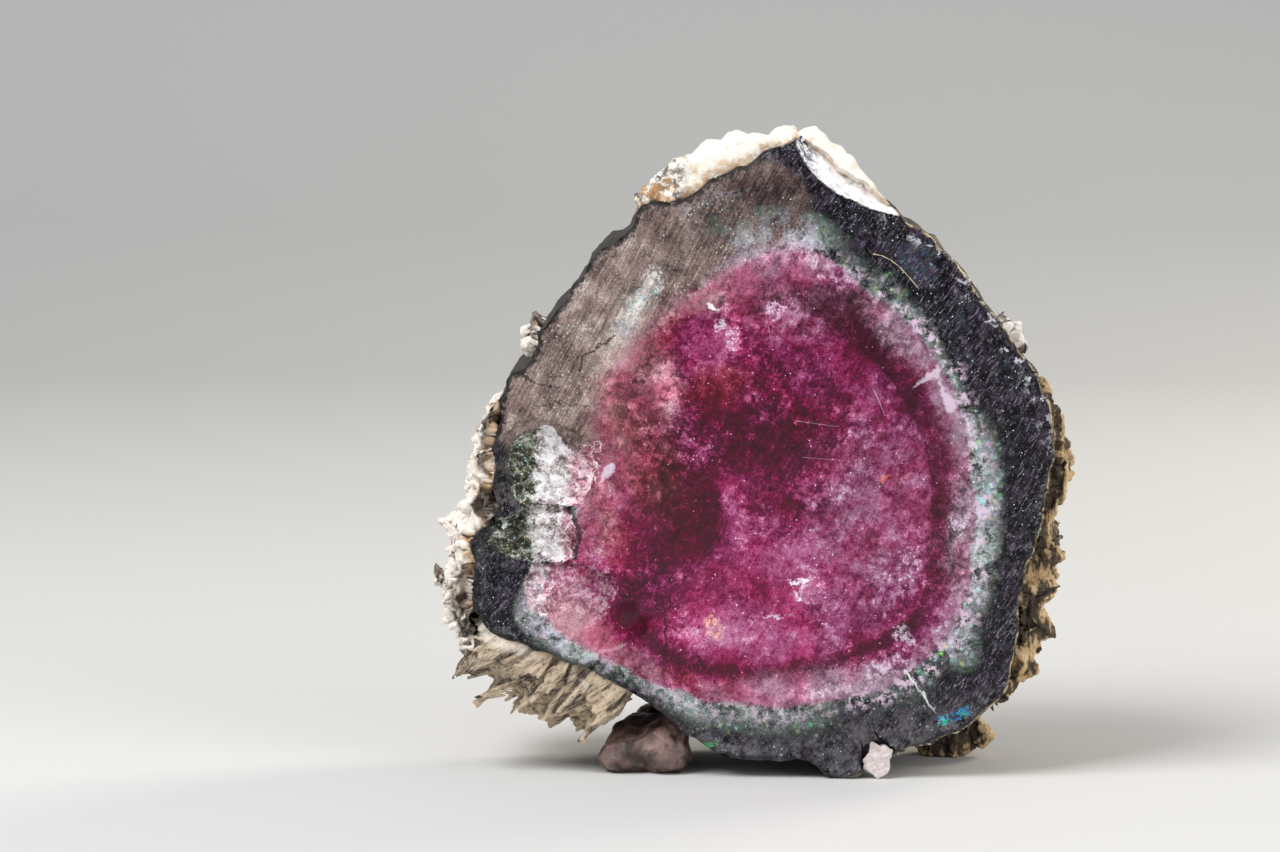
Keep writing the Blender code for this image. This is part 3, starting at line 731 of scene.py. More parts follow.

# %% [markdown]
# ## The sawn and polished face
#
# This is the finish that makes the stone. From the outside in it holds: a rim of green so deep that it is
# black, and brown at the upper left where the saw left its marks, with their sheen painted into the colour; a
# pale ring full of tiny cracks that catch the light; and the pink heart. In a real stone every zone varies in
# the same way: it is dark where light sinks in and pale where something inside throws light back. So each
# zone here is one number, its lightness, with its own ramp of colours from dark to pale. Soft noise gives the
# slow changes, patches with one level each give the cracks and flakes, and fine noise gives the dust, with
# bright grains whose glints are painted in.


# %% Words for the stone's texture
def ragged(f, name, coarse, fine):
    """A stored distance with an uneven edge: coarse waves about 2 mm long and fine ones of 0.3 mm."""
    waves = (f.pattern("waves") - 0.5) * coarse
    return f.field(name) + waves + (f.pattern("crumbs") - 0.5) * fine


def specks_and_glints(f, scale, size, rare):
    """Small bright grains, with the glints that they throw painted in: one in each cell of a pattern, but
    only in the few cells that are lucky.
    """
    return f.cells(scale).above(size, size * 0.4) * f.cells(scale, output="Color").above(rare, rare + 0.03)


def hairs(f, degrees, fine, rare, short=0.8):
    """Thin scratches that all run one way. The higher `short` is, the shorter they are."""
    return f.cloud(1.0, 3.0, 0.7, where=f.turned(degrees, (short, fine, fine))).above(rare, rare + 0.14)


def sawn(f):
    """The saw's marks: long thin streaks that rise to the right, around 0."""
    return f.cloud(1.0, 4.0, 0.75, where=f.turned(62, (0.4, 9.0, 9.0))) - 0.5


def broken_up(f, wide, mid, small):
    """A number around 0 that jumps from flake to flake, at three sizes."""
    coarse, fine = (f.shards(0.9) - 0.5) * wide, (f.shards(2.6) - 0.5) * mid
    return coarse + fine + (f.shards(7.0) - 0.5) * small


def rainbow(f, scale):
    """A strong colour for each small grain, as thin cracks show them."""
    grains = f.cells(scale, output="Color")
    return f.blend(0.8, (0.6, 0.62, 0.6), f.vector("MULTIPLY", grains.socket, (0.9, 1.0, 1.1)))


print("words for ragged borders, grains, scratches, flakes and rainbow colours")


# %% The pink heart
def heart_lightness(f, pause):
    """How much light comes back from each place in the pink heart."""
    cloudy = f.pattern("billows") - 0.5
    mottled = f.pattern("mottling") - 0.5
    grain = f.pattern("powder") - 0.5
    crazed = (f.cloud(0.32, 3.0) + f.field("veil") * 0.2).above(0.38, 0.66)
    level = 0.42 + f.field("light") * 0.42 + cloudy * 0.62 + mottled * 0.66 + grain * 0.45 + sawn(f) * 0.3
    level = level + broken_up(f, 0.12, 0.24, 0.26) * (crazed * 0.9 + 0.35)
    pit = (f.field("inside_pit") + mottled * 0.5).above(-0.05, 0.4) * f.axis("X").above(-8.0, -3.5)
    level = level - pit * 0.11
    veil = (f.field("veil") + mottled * 2.2 + (f.shards(2.6) - 0.5) * 0.7).above(0.25, 1.0)
    level = level + veil * ((grain * 2.4 + 0.3).kept() * 0.3 + 0.1)
    ring = pause.above(0.06, -0.06) * pause.above(-2.2, -0.2)
    level = level - ring * (0.05 + f.axis("X").above(-4.0, 2.0) * f.axis("Z").above(5.5, 10.0) * 0.12)
    arc = (pause + mottled * 0.4).around(-0.45, 0.5) * f.axis("Z").above(11.0, 8.0)
    level = level - arc * 0.13
    spread = f.pattern("tufts").above(0.42, 0.62) * 0.9 + 0.1
    level = level.maths("MAXIMUM", 0.1 + mottled * 0.9 + grain * 0.7 + sawn(f) * 0.5)
    # Bright grains with their glints painted in, and hairline scratches.
    fine_marks = (specks_and_glints(f, 3.1, 0.15, 0.62) * 0.75 + specks_and_glints(f, 7.0, 0.24, 0.6) * 0.45) * spread
    fine_marks = fine_marks + hairs(f, 8, 9.0, 0.6) * 0.16 + hairs(f, -35, 8.0, 0.62) * 0.16
    return level + fine_marks + hairs(f, 55, 11.0, 0.56, 2.6) * 0.1


def pink_heart(f, pause):
    """The pink heart, from maroon where it is deepest to lilac white, with warm red places."""
    level = heart_lightness(f, pause)
    pink = f.ramp(
        level,
        (0.0, (0.035, 0.0, 0.007)), (0.2, (0.085, 0.0, 0.022)), (0.36, (0.175, 0.008, 0.06)),
        (0.5, (0.29, 0.042, 0.14)), (0.66, (0.46, 0.13, 0.28)), (0.82, (0.66, 0.38, 0.53)),
        (1.0, (0.95, 0.85, 0.93)),
    )  # fmt: skip
    red = f.ramp(
        level,
        (0.0, (0.02, 0.001, 0.001)), (0.3, (0.13, 0.006, 0.014)), (0.52, (0.36, 0.05, 0.075)),
        (0.76, (0.56, 0.24, 0.26)), (1.0, (0.95, 0.8, 0.76)),
    )  # fmt: skip
    warm = (f.field("ember") + (f.pattern("tufts") - 0.5) * 1.1).above(0.15, 0.95)
    colour = f.blend(warm * 0.8, pink, red)
    misty = (f.field("mist") + (f.pattern("mottling") - 0.5) * 1.2).above(0.15, 0.95)
    grey = f.blend(f.axis("X").above(-3.0, 1.0), (0.34, 0.19, 0.2), (0.32, 0.19, 0.26))
    colour = f.blend(misty * 0.65, colour, f.times(grey, level * 2.2))
    greyed = f.pattern("waves").above(0.35, 0.6) * 0.55 + f.axis("X").above(1.0, 7.0) * 0.35
    drift = f.blend(greyed, (1.08, 0.62, 0.78), (0.9, 1.4, 1.16))
    return f.vector("MULTIPLY", colour, drift), level


print("the heart goes from maroon to lilac white")


# %% The dark rim
def dark_rim(f):
    """Nearly black tourmaline with a plum cast, hairline scratches, and glints near its edge."""
    haze = f.pattern("haze")
    plum = f.blend(f.pattern("waves").above(0.42, 0.6), (0.075, 0.055, 0.085), (0.035, 0.045, 0.05))
    rim = f.blend(haze.above(0.42, 0.78), (0.002, 0.0018, 0.0025), plum)
    rim = f.blend(hairs(f, -62, 9.0, 0.6) * 0.3, rim, (0.2, 0.19, 0.22))
    rim = f.blend(hairs(f, 20, 8.0, 0.62) * 0.3, rim, (0.16, 0.15, 0.17))
    rim = f.blend(hairs(f, 55, 11.0, 0.54, 2.6) * 0.7, rim, (0.24, 0.2, 0.27))
    smoky = f.axis("Z").above(5.5, 2.5) * f.pattern("tufts").above(0.38, 0.66)
    rim = f.blend(smoky * 0.8, rim, (0.13, 0.122, 0.13))
    gleam = f.field("gleam") + (f.pattern("mottling") - 0.5) * 1.6
    fire = f.times(rainbow(f, 6.0), f.shards(7.0) * 0.5)
    rim = f.blend(gleam.above(0.4, 1.2) * 0.45, rim, f.blend(0.5, fire, (0.03, 0.04, 0.1)))
    edge = f.field("inside_rim") + (f.pattern("crumbs") - 0.5) * 1.4
    upper_right = f.axis("X").above(4.0, 10.0) * f.axis("Z").above(17.0, 21.0)
    # Painted glints: white specks near the rim's edge, most of them at the upper right.
    edge_glints = edge.above(1.2, 0.3) * f.shards(2.6).above(0.68, 0.72) * f.shards(7.0).above(0.4, 0.5)
    rim = f.blend(edge_glints * (upper_right * 0.6 + 0.12), rim, (0.8, 0.79, 0.84))
    fine_marks = f.pattern("powder").above(0.6, 0.72) * f.pattern("tufts").above(0.35, 0.65)
    rim = f.blend(fine_marks * 0.6, rim, (0.42, 0.38, 0.46))
    murky = f.axis("X").above(-11.6, -13.4) * f.axis("Z").around(16.0, 4.6) * haze.above(0.42, 0.62)
    rim = f.blend(murky * 0.6, rim, f.times((0.2, 0.185, 0.14), haze))
    clustered = f.pattern("waves").above(0.4, 0.58) * 0.75 + 0.2
    rim = f.blend(specks_and_glints(f, 3.1, 0.14, 0.58) * clustered, rim, (0.9, 0.88, 0.94))
    return f.blend(specks_and_glints(f, 4.6, 0.16, 0.56) * clustered * 0.8, rim, (0.42, 0.44, 0.62))


print("the rim goes from black to plum and grey")


# %% The brown part, with its painted sheen
def sheen_on_brown(f):
    """A brown zone with the saw marks' sheen painted into it: thin streaks that rise to the right, and pale
    grains.
    """
    broad = f.cloud(0.7, 4.0, 0.68, twist=0.5) - 0.5
    grain = f.pattern("powder") - 0.5
    # The lightness holds the saw marks' streaks and the sheen on them, painted in.
    light = 0.46 + f.field("light") * 0.5 + sawn(f) * 1.1 + broad * 1.2 + grain * 0.9
    light = light + broken_up(f, 0.06, 0.1, 0.12)
    brown = f.ramp(
        light,
        (0.0, (0.016, 0.01, 0.01)), (0.25, (0.075, 0.047, 0.045)), (0.5, (0.2, 0.14, 0.125)),
        (0.75, (0.38, 0.3, 0.265)), (1.0, (0.7, 0.64, 0.58)),
    )  # fmt: skip
    here = f.pattern("billows").above(0.48, 0.6)
    gold = f.blend(0.5, rainbow(f, 4.6), (0.8, 0.76, 0.5))
    brown = f.blend(specks_and_glints(f, 4.6, 0.3, 0.5) * here * 0.7, brown, gold)
    return f.blend(specks_and_glints(f, 3.1, 0.14, 0.54) * here * 0.95, brown, (0.92, 0.9, 0.84))


print("the silky part goes from brown to cream")


# %% The pale ring
def pale_ring(f, outward):
    """The translucent ring and the dark rim outside it, which it fades into."""
    strength = f.field("fringe").kept()
    wisps = f.cloud(1.1, 4.0, 0.7, twist=0.7) - 0.5
    grain = f.pattern("powder") - 0.5
    near = (outward / (strength * 4.4 + 0.5) + wisps * 1.5 + broken_up(f, 0.2, 0.2, 0.2)).above(1.1, -0.2)
    level = near * (0.27 + strength * 0.33)
    level = level + near * (wisps * 2.0 + grain * 0.7 + broken_up(f, 0.3, 0.35, 0.26))
    level = level + near * (specks_and_glints(f, 3.1, 0.16, 0.56) + specks_and_glints(f, 7.0, 0.2, 0.6) * 0.7) * 0.6
    level = level + near * f.seams(1.5) * (wisps + 0.2).kept() * 0.9
    ring = f.ramp(
        level,
        (0.0, (0.002, 0.002, 0.003)), (0.16, (0.026, 0.028, 0.026)), (0.34, (0.1, 0.11, 0.1)),
        (0.52, (0.28, 0.28, 0.285)), (0.74, (0.6, 0.6, 0.64)), (1.0, (0.98, 0.98, 1.0)),
    )  # fmt: skip
    tint = f.blend(f.pattern("billows").above(0.42, 0.56), (0.88, 1.0, 0.94), (1.0, 0.95, 1.06))
    ring = f.vector("MULTIPLY", ring, tint)
    patchy = f.pattern("tufts").above(0.45, 0.58)
    lit = near * specks_and_glints(f, 3.1, 0.7, 0.4) * patchy * (0.2 + f.field("fire").kept())
    ring = f.blend(lit * 0.75, ring, rainbow(f, 3.1))
    green = f.field("fire").kept() * wisps.above(0.0, 0.16) * near
    ring = f.blend(green * 0.22, ring, (0.1, 0.42, 0.26))
    return f.blend((level + lit).above(0.26, 0.06), ring, dark_rim(f))


print("the ring goes from black to white")


# %% The whole polished face
def zoned_colour(f):
    """The colour of the stone anywhere on a cut across the prism, and how light its heart is there."""
    inward = ragged(f, "inside_heart", 0.9, 0.8)
    pause = ragged(f, "inside_pause", 0.35, 0.22)
    heart, level = pink_heart(f, pause)
    sheeny = (f.field("satin") + (f.pattern("tufts") - 0.5) * 0.5).above(0.3, 0.7)
    around = pale_ring(f, 0 - inward)
    silver = f.field("fringe").above(0.3, 0.8) * f.pattern("tufts").above(0.42, 0.58)
    # Painted sheen: at the upper left the brown zone, with the saw marks' sheen painted in, covers the pale
    # ring, except where the ring is strong.
    around = f.blend(sheeny * (1 - silver * 0.75), around, sheen_on_brown(f))
    black_edge = f.field("inside_rim") + (f.pattern("crumbs") - 0.5) * 1.1
    around = f.blend(black_edge.above(0.45, 0.15) * (sheeny * 0.5 + 0.45), around, (0.008, 0.007, 0.008))
    soft = inward / (f.field("satin").kept() * 1.3 + 0.25)
    colour = f.blend(soft.above(-0.6, 1.0), around, heart)
    flaky = f.shards(2.6).above(0.45, 0.55) * f.pattern("crumbs").above(0.44, 0.6)
    flaky = inward.around(-0.2, 1.1) * flaky * (0.4 + f.axis("X").above(3.0, 9.0) * 0.45) * (1 - sheeny)
    return f.blend(flaky, colour, (0.74, 0.56, 0.7)), level, sheeny


print("one colour for every cut across the prism")

# %% [markdown]
# ## Breaks, flakes and needles
#
# Three shell-shaped breaks at the left show the stone's raw inside: frosted, scaly, and full of small steps,
# with light and shade painted on their facets and painted highlights along the steps' edges. Besides these,
# the eye remembers single features: a few lilac flakes, a curved needle, some cracks, and one flash of blue.
# They are strokes with a ragged or a straight outline.


# %% The breaks
def breaks_over(f, colour):
    """The shell-shaped breaks: frosted and scaly, white at the top, pink at the bottom, with light and shade
    painted on their facets.
    """
    scaly, fine = f.pattern("scales"), f.pattern("powder")
    # Painted light and shade: each facet gets a lightness of its own, and the seams along the steps' edges
    # are painted highlights.
    light = 0.38 + (scaly - 0.5) * 1.1 + (fine - 0.5) * 0.6 + broken_up(f, 0.5, 0.55, 0.4)
    light = light + f.seams(1.5) * 0.42 + specks_and_glints(f, 3.1, 0.2, 0.5) * 0.3
    white = f.ramp(
        light,
        (0.0, (0.14, 0.1, 0.09)), (0.3, (0.5, 0.44, 0.44)), (0.6, (0.86, 0.82, 0.83)),
        (0.9, (1.0, 0.99, 1.0)),
    )  # fmt: skip
    green = f.ramp(
        light,
        (0.1, (0.014, 0.015, 0.008)), (0.4, (0.09, 0.09, 0.06)), (0.7, (0.3, 0.31, 0.25)),
        (0.95, (0.85, 0.9, 0.84)),
    )  # fmt: skip
    pink = f.ramp(
        light,
        (0.05, (0.1, 0.02, 0.035)), (0.35, (0.4, 0.15, 0.2)), (0.62, (0.74, 0.46, 0.54)),
        (0.9, (1.0, 0.93, 0.96)),
    )  # fmt: skip
    green = f.blend(specks_and_glints(f, 4.6, 0.4, 0.5) * 0.6, green, rainbow(f, 4.6))
    right = f.axis("X") - PLUMB + (scaly - 0.5) * 1.4 + (f.shards(2.6) - 0.5) * 0.5
    edge = (fine - 0.5) * 0.3 + (f.shards(2.6) - 0.5) * 0.16
    top = f.blend(right.above(-10.7, -10.3), white, pink)
    top = f.blend(right.above(-12.1, -12.5), top, green)
    colour = f.blend((f.field("break_top") + edge).above(-0.04, 0.06) * 0.95, colour, top)
    middle = f.blend(right.above(-12.9, -12.1), green, f.blend(right.above(-11.3, -10.6), white, pink))
    colour = f.blend((f.field("break_middle") + edge).above(-0.04, 0.06) * 0.95, colour, middle)
    low = f.blend(scaly.above(0.36, 0.5), colour, pink)
    share = f.axis("X").above(-9.0, -11.6) * 0.4 + 0.35
    soft = (f.field("break_low") + edge * 2.0 + (scaly - 0.5) * 1.6).above(-0.1, 0.25)
    return f.blend(soft * share, colour, low)


print("the breaks are white, green and pink")


# %% Flakes, needles and cracks
def details_over(f, colour):
    """Single features that the eye remembers: flakes, needles, a few cracks and one flash of blue."""
    lilac, white, gold = (0.66, 0.52, 0.64), (0.88, 0.87, 0.86), (0.8, 0.66, 0.42)
    spotty = f.pattern("speckle").above(0.42, 0.56) * f.shards(2.6).above(0.3, 0.4)
    streaky = sawn(f).above(-0.15, 0.1) * 0.65
    needle = [(6.2, 29.1), (6.7, 29.0), (7.2, 28.75), (7.7, 28.35), (8.2, 27.8), (8.7, 27.2)]
    for points, width, share, tone in (
        ([(-8.2, 17.3), (-8.8, 16.3)], 0.36, 0.95, lilac),
        ([(9.7, 22.6), (8.4, 21.8)], 0.3, 0.9, lilac),
        ([(10.5, 20.7), (9.8, 22.3)], 0.42, 0.9, lilac),
        ([(-6.0, 27.3), (-6.7, 26.0), (-7.7, 24.7)], 0.5, streaky * 0.5, white),
        ([(-5.8, 27.6), (-7.2, 25.6)], 0.9, spotty * 0.6, white),
        ([(10.6, 14.3), (11.2, 14.4), (10.9, 13.5)], 0.35, spotty, lilac),
        ([(6.4, 5.9), (8.0, 6.6)], 0.6, spotty, lilac),
        ([(7.8, 8.2), (8.7, 7.6)], 0.6, spotty, lilac),
        ([(2.2, 10.2), (2.5, 11.0), (2.8, 11.9)], 0.3, spotty, (0.95, 0.85, 0.9)),
        ([(1.6, 10.9), (3.3, 11.3)], 0.22, spotty, (0.9, 0.8, 0.95)),
        ([(0.2, 9.2), (1.0, 9.0), (1.8, 9.1)], 0.16, spotty, lilac),
        ([(-2.7, 8.7), (-2.4, 8.2), (-2.2, 7.8)], 0.5, spotty, (0.95, 0.5, 0.35)),
        ([(6.8, 16.7), (7.2, 16.9)], 0.2, 0.6, (0.75, 0.2, 0.1)),
        ([(0.8, 26.0), (2.1, 26.8)], 0.7, spotty, (0.8, 0.5, 0.7)),
        # The silvery wash below the peak is sheen on the saw marks, painted in.
        ([(-4.2, 31.3), (-2.6, 32.1), (-0.6, 32.6)], 0.6, spotty * 0.2, (0.46, 0.5, 0.58)),
        ([(-2.7, 26.2), (-2.3, 26.0)], 0.22, 0.9, white),
        ([(-2.2, 25.2), (-1.6, 24.1)], 0.4, spotty, lilac),
        ([(-10.9, 5.2), (-9.0, 4.4)], 0.6, spotty, (0.5, 0.52, 0.52)),
        ([(8.1, 6.1), (9.0, 4.8), (9.7, 3.9)], 0.13, 0.8, (0.7, 0.72, 0.76)),
    ):
        colour = f.blend(f.stroke(points, width, taper=0.7) * share, colour, tone)
    for points, width, share, tone in (
        (needle, 0.03, 0.85, gold),
        ([(2.0, 19.9), (4.4, 19.6)], 0.022, 0.5, lilac),
        ([(2.4, 17.9), (5.0, 17.7)], 0.02, 0.4, lilac),
        ([(6.3, 21.6), (6.9, 20.2)], 0.035, 0.6, lilac),
        ([(0.7, 24.0), (0.1, 27.0)], 0.02, 0.4, lilac),
        ([(8.2, 5.9), (9.8, 3.7)], 0.03, 0.7, white),
    ):
        colour = f.blend(f.stroke(points, width, wavy=False, taper=0.5) * share, colour, tone)
    for points, width in (
        ([(-7.9, 24.6), (-8.7, 24.1), (-9.7, 23.4), (-9.8, 22.7)], 0.07),
        ([(-12.5, 20.6), (-11.2, 20.9), (-9.4, 20.7)], 0.05),
        ([(-13.2, 22.4), (-12.2, 21.9), (-11.0, 21.7)], 0.06),
        ([(-10.4, 15.0), (-9.9, 13.6), (-10.2, 12.2)], 0.2),
        ([(-5.2, 9.9), (-5.1, 7.2)], 0.09),
    ):
        colour = f.blend(f.stroke(points, width) * 0.85, colour, (0.02, 0.012, 0.012))
    blues = f.ramp(
        f.cells(4.6, output="Color"),
        (0.3, (0.0, 0.45, 0.25)), (0.45, (0.02, 0.35, 0.6)),
        (0.6, (0.03, 0.1, 0.6)), (0.7, (0.1, 0.5, 0.5)),
    )  # fmt: skip
    colour = f.blend(f.stroke([(10.1, 3.3), (11.6, 3.9)], 0.34) * spotty, colour, blues)
    return f.blend(f.stroke([(-3.1, 1.7), (-2.5, 2.0)], 0.3) * spotty * 0.7, colour, (0.1, 0.45, 0.15))


print("the single features are strokes")


# %% The chip beside the peak
def chamfer_over(f, colour):
    """The broad chip beside the peak: frosted white with the glare of the light on it painted in, and dark
    violet specks at its upper end.
    """
    inside = (f.field("bevel") + (f.pattern("speckle") - 0.5) * 0.3).above(-0.02, 0.08)
    # Painted reflection: the chip's white is partly its frosted break and partly the glare of the light on
    # its facet.
    frost_and_glare = f.blend(f.pattern("crumbs").above(0.3, 0.55), (0.6, 0.57, 0.58), (1.0, 0.98, 0.98))
    speckled = (f.axis("X") - PLUMB).above(3.6, 2.3) * f.pattern("speckle").above(0.44, 0.54)
    colour = f.blend(inside * 0.97, colour, f.blend(speckled, frost_and_glare, (0.07, 0.06, 0.13)))
    # A gold film along the upper right edge, with the glints along that edge painted into it.
    gilt_and_glint = f.field("inside_rim").around(0.06, 0.16) * (f.axis("X") - PLUMB).above(4.0, 8.0)
    gilt_and_glint = gilt_and_glint * f.pattern("mottling").above(0.45, 0.55)
    return f.blend(gilt_and_glint * 0.8, colour, (0.72, 0.58, 0.38))


print("the chip is white, with gilt specks beside it")


# %% The face's finish
CLEAR_SHARE = 0.28  # the clear surface's part where the heart is deepest; the painted one has the rest


def polished_face():
    f = Finish("polished tourmaline")
    colour, level, sheeny = zoned_colour(f)
    colour = chamfer_over(f, details_over(f, breaks_over(f, colour)))
    upper = f.field("break_top").maths("MAXIMUM", f.field("break_middle"))
    broken = upper.maths("MAXIMUM", f.field("break_low")).above(-0.1, 0.15)
    bevel = f.field("bevel").above(-0.02, 0.08)
    scaly = f.pattern("scales")
    height = sawn(f) * (f.field("satin").kept() * 0.7 + 0.08) + scaly * (broken * 2.6 + bevel * 1.2 + 0.1)
    normal = f.bumps(height, 0.05)
    rough_by = 0.12 + sheeny * 0.24 + broken * 0.08 + f.pattern("haze").above(0.45, 0.8) * 0.14
    painted = f.tourmaline(0.12, Base_Color=colour, Roughness=rough_by, Normal=normal)
    wine = {"Base_Color": (0.6, 0.03, 0.2), "Transmission_Weight": 1.0}
    clear = f.tourmaline(0.12, Roughness=0.12, Normal=normal, **wine)
    see_in = f.field("inside_heart").above(0.2, 0.8) * level.above(0.5, 0.15) * (1 - broken)
    mixed = f.add("ShaderNodeMixShader", None, {0: see_in * CLEAR_SHARE, 1: painted, 2: clear})
    return f.done(mixed.outputs[0])


crystal.data.materials.append(polished_face())
print("the face's finish has", len(crystal.data.materials[0].node_tree.nodes), "nodes")

# %% [markdown]
# ## The natural sides and the sawn back
#
# The sides were never touched by the saw. They are black, and their ridges run from the polished face
# to the back. On the right a golden film of rust lies on them. The back shows the same zones as the
# face, but nobody polished it, so it is duller and the saw's marks cross all of it.


# %% Finishes of the sides and the back
def natural_side():
    f = Finish("ridged black tourmaline")
    long_ridges = f.cloud(1.0, 5.0, 0.65, where=f.scaled(f.place, (3.2, 0.12, 3.2)))
    film = f.cloud(0.35, 6.0, 0.7)
    thin = f.cloud(1.0, 6.0, 0.75, where=f.scaled(f.place, (3.0, 1.0, 3.0)))
    black = f.blend(long_ridges.above(0.35, 0.75), (0.003, 0.003, 0.0035), (0.022, 0.019, 0.02))
    rusty = (film + (thin - 0.5) * 1.2).above(0.42, 0.66) * (0.2 + f.axis("X").above(7.0, 10.0) * 0.8)
    gold = f.ramp(
        thin + (long_ridges - 0.5) * 0.6,
        (0.3, (0.05, 0.03, 0.014)), (0.5, (0.22, 0.14, 0.06)), (0.75, (0.5, 0.38, 0.2)),
    )  # fmt: skip
    colour = f.blend(rusty * 0.8, black, gold)
    normal = f.bumps(long_ridges + thin * 0.4, 0.18)
    rough_by = 0.36 + rusty * 0.4 + thin * 0.15
    return f.done(f.tourmaline(0.16, Base_Color=colour, Roughness=rough_by, Normal=normal))


def sawn_back():
    f = Finish("sawn tourmaline")
    saw = f.cloud(1.0, 4.0, 0.6, where=f.turned(35, (0.2, 5.0, 5.0)))
    colour = f.times(zoned_colour(f)[0], saw * 0.6 + 0.7)
    normal = f.bumps(saw, 0.06)
    return f.done(f.tourmaline(0.4, Base_Color=colour, Roughness=0.34 + saw * 0.2, Normal=normal))


crystal.data.materials.append(natural_side())
crystal.data.materials.append(sawn_back())
slots = np.zeros(len(crystal.data.polygons), dtype=np.int32)
slots[FACE_QUADS + AROUND : SIDE_QUADS] = 1
slots[SIDE_QUADS - AROUND : len(quads)] = 2
slots[len(quads) + AROUND :] = 2
crystal.data.polygons.foreach_set("material_index", slots)
crystal.data.shade_smooth()
crystal.data.set_sharp_from_angle(angle=math.radians(40))
print("the crystal has", len(crystal.data.materials), "finishes")

# %% [markdown]
# ## The rock that still clings to the slice
#
# The crystal grew in a pocket of feldspar, and some of it broke away together with the slice. Each remnant is
# one piece. Its plain solid is wrapped in a net of cells a tenth of a millimetre wide or less, and the net is
# pushed in and out by a rule of its own: folds, cracked blocks or nodules. How far it was pushed is stored,
# because the finishes make the hollows darker, as painted shade on the blades and the right crust, and so is
# its distance from the crystal, because a dark brown line follows the joint.


# %% Wrapping a solid in fine cells
def main_part(count, faces):
    """Which of a skin's vertices belong to its largest connected part, and not to a loose crumb."""
    leader = list(range(count))

    def lead(corner):
        while leader[corner] != corner:
            leader[corner] = leader[leader[corner]]
            corner = leader[corner]
        return corner

    for face in faces:
        for corner in face[1:]:
            leader[lead(corner)] = lead(face[0])
    leads = [lead(corner) for corner in range(count)]
    biggest = max(set(leads), key=leads.count)
    return [k for k in range(count) if leads[k] == biggest]


def wrapped(places, faces, cell):
    """The closed skin round a solid or round many solids at once, in even cells, with its normals."""
    draft = bpy.data.objects.new("draft", bpy.data.meshes.new("draft"))
    draft.data.from_pydata(places, [], faces)
    bpy.context.scene.collection.objects.link(draft)
    wrap = draft.modifiers.new("wrap", "REMESH")
    wrap.mode, wrap.voxel_size = "VOXEL", cell
    skin = draft.evaluated_get(bpy.context.evaluated_depsgraph_get()).to_mesh()
    places = [vertex.co.copy() for vertex in skin.vertices]
    normals = [vertex.normal.copy() for vertex in skin.vertices]
    faces = [list(face.vertices) for face in skin.polygons]
    bpy.data.objects.remove(draft)
    kept = main_part(len(places), faces)
    new = {old: k for k, old in enumerate(kept)}
    faces = [[new[corner] for corner in face] for face in faces if face[0] in new]
    return [places[k] for k in kept], [normals[k] for k in kept], faces


print("a coarse skin of the white chip has", len(wrapped(*plain_solid("white_chip"), 0.5)[0]), "vertices")


# %% Seating rock on the crystal, and measuring from its solid
TOUCHES, STAYS = 0.22, 0.5  # mm from the crystal: nearer rock is moved onto it, farther rock stays
BEDDED = 0.12  # mm that such rock goes below the crystal's surface


def seated(place):
    """Moves rock that is a few tenths of a millimetre from the crystal onto it. Also gives that gap."""
    spot, normal, _, gap = CRYSTAL.find_nearest(place)
    touch = 1 - soft_step(gap, TOUCHES, STAYS)
    return place.lerp(spot - normal * BEDDED, touch), gap


SOLIDS = {}


def outside(node, place):
    """How far a place is outside a plain solid, in mm: below 0 it is in a hollow."""
    if node not in SOLIDS:
        SOLIDS[node] = solid_tree(node)
    spot, normal, _, gap = SOLIDS[node].find_nearest(place)
    return math.copysign(gap, (Vector(place) - spot).dot(normal))


print("the crystal is", round(seated(Vector((0, -20, 15)))[1], 1), "mm behind a place at y = -20")


# %% Splinters
def splinter(at, along, normal, length, width, thick):
    """A thin blade with blunt ends: four rings of four corners, and a face at each end."""
    across = along.cross(normal).normalized()
    up = across.cross(along).normalized()
    corners = []
    for share, size in ((-0.5, 0.6), (-0.3, 0.95), (0.15, 1.0), (0.5, 0.5)):
        middle = at + along * length * share
        for a, u in ((1, 1), (-1, 1), (-1, -1), (1, -1)):
            corners.append(middle + across * a * width * size * 0.5 + up * u * thick * (0.4 + size * 0.3))
    faces = [[3, 2, 1, 0], [12, 13, 14, 15]]
    for ring in (0, 4, 8):
        for k in range(4):
            here, after = ring + k, ring + (k + 1) % 4
            faces.append([here, after, after + 4, here + 4])
    return corners, faces


def joined(parts):
    """Several lists of places and faces as one."""
    places, faces = [], []
    for more_places, more_faces in parts:
        faces += [[corner + len(places) for corner in face] for face in more_faces]
        places += more_places
    return places, faces


print("a splinter has", len(splinter(Vector(), Vector((1, 0, 0)), Vector((0, 0, 1)), 1, 1, 1)[1]), "faces")


# %% Worn ends
def worn_ends(places):
    """Wears a crust's two ends back along the crystal's side, unevenly, behind the polished face."""
    middle = sum(places, Vector()) / len(places)
    facing = math.atan2(middle.z - HEART_Z, middle.x - HEART_X)
    turns = [math.remainder(math.atan2(p.z - HEART_Z, p.x - HEART_X) - facing, math.tau) for p in places]
    least, most = min(turns), max(turns)
    worn = []
    for place, turn in zip(places, turns):
        x, z = place.x - HEART_X, place.z - HEART_Z
        end = most if turn > 0 else least
        radius = math.hypot(x, z)
        bite = 1.0 + 1.7 * noise.noise(Vector((end * 9, place.y * 0.34, 0)))
        bite += 0.5 * noise.noise(place * 0.7)
        bite = min(max(bite, 0.0), 0.3 * radius * abs(end)) / radius
        share = soft_step(place.y, FRONT + 0.5, FRONT + 2.5) * soft_step(turn / end, 0.2, 1.0)
        back = -math.copysign(bite * share, turn)
        c, s = math.cos(back), math.sin(back)
        worn.append(Vector((HEART_X + x * c - z * s, place.y, HEART_Z + x * s + z * c)))
    return worn


top_places = plain_solid("top_crust")[0]
wear = max((a - b).length for a, b in zip(top_places, worn_ends(top_places)))
print("the top crust's ends wear back by up to", round(wear, 1), "mm")


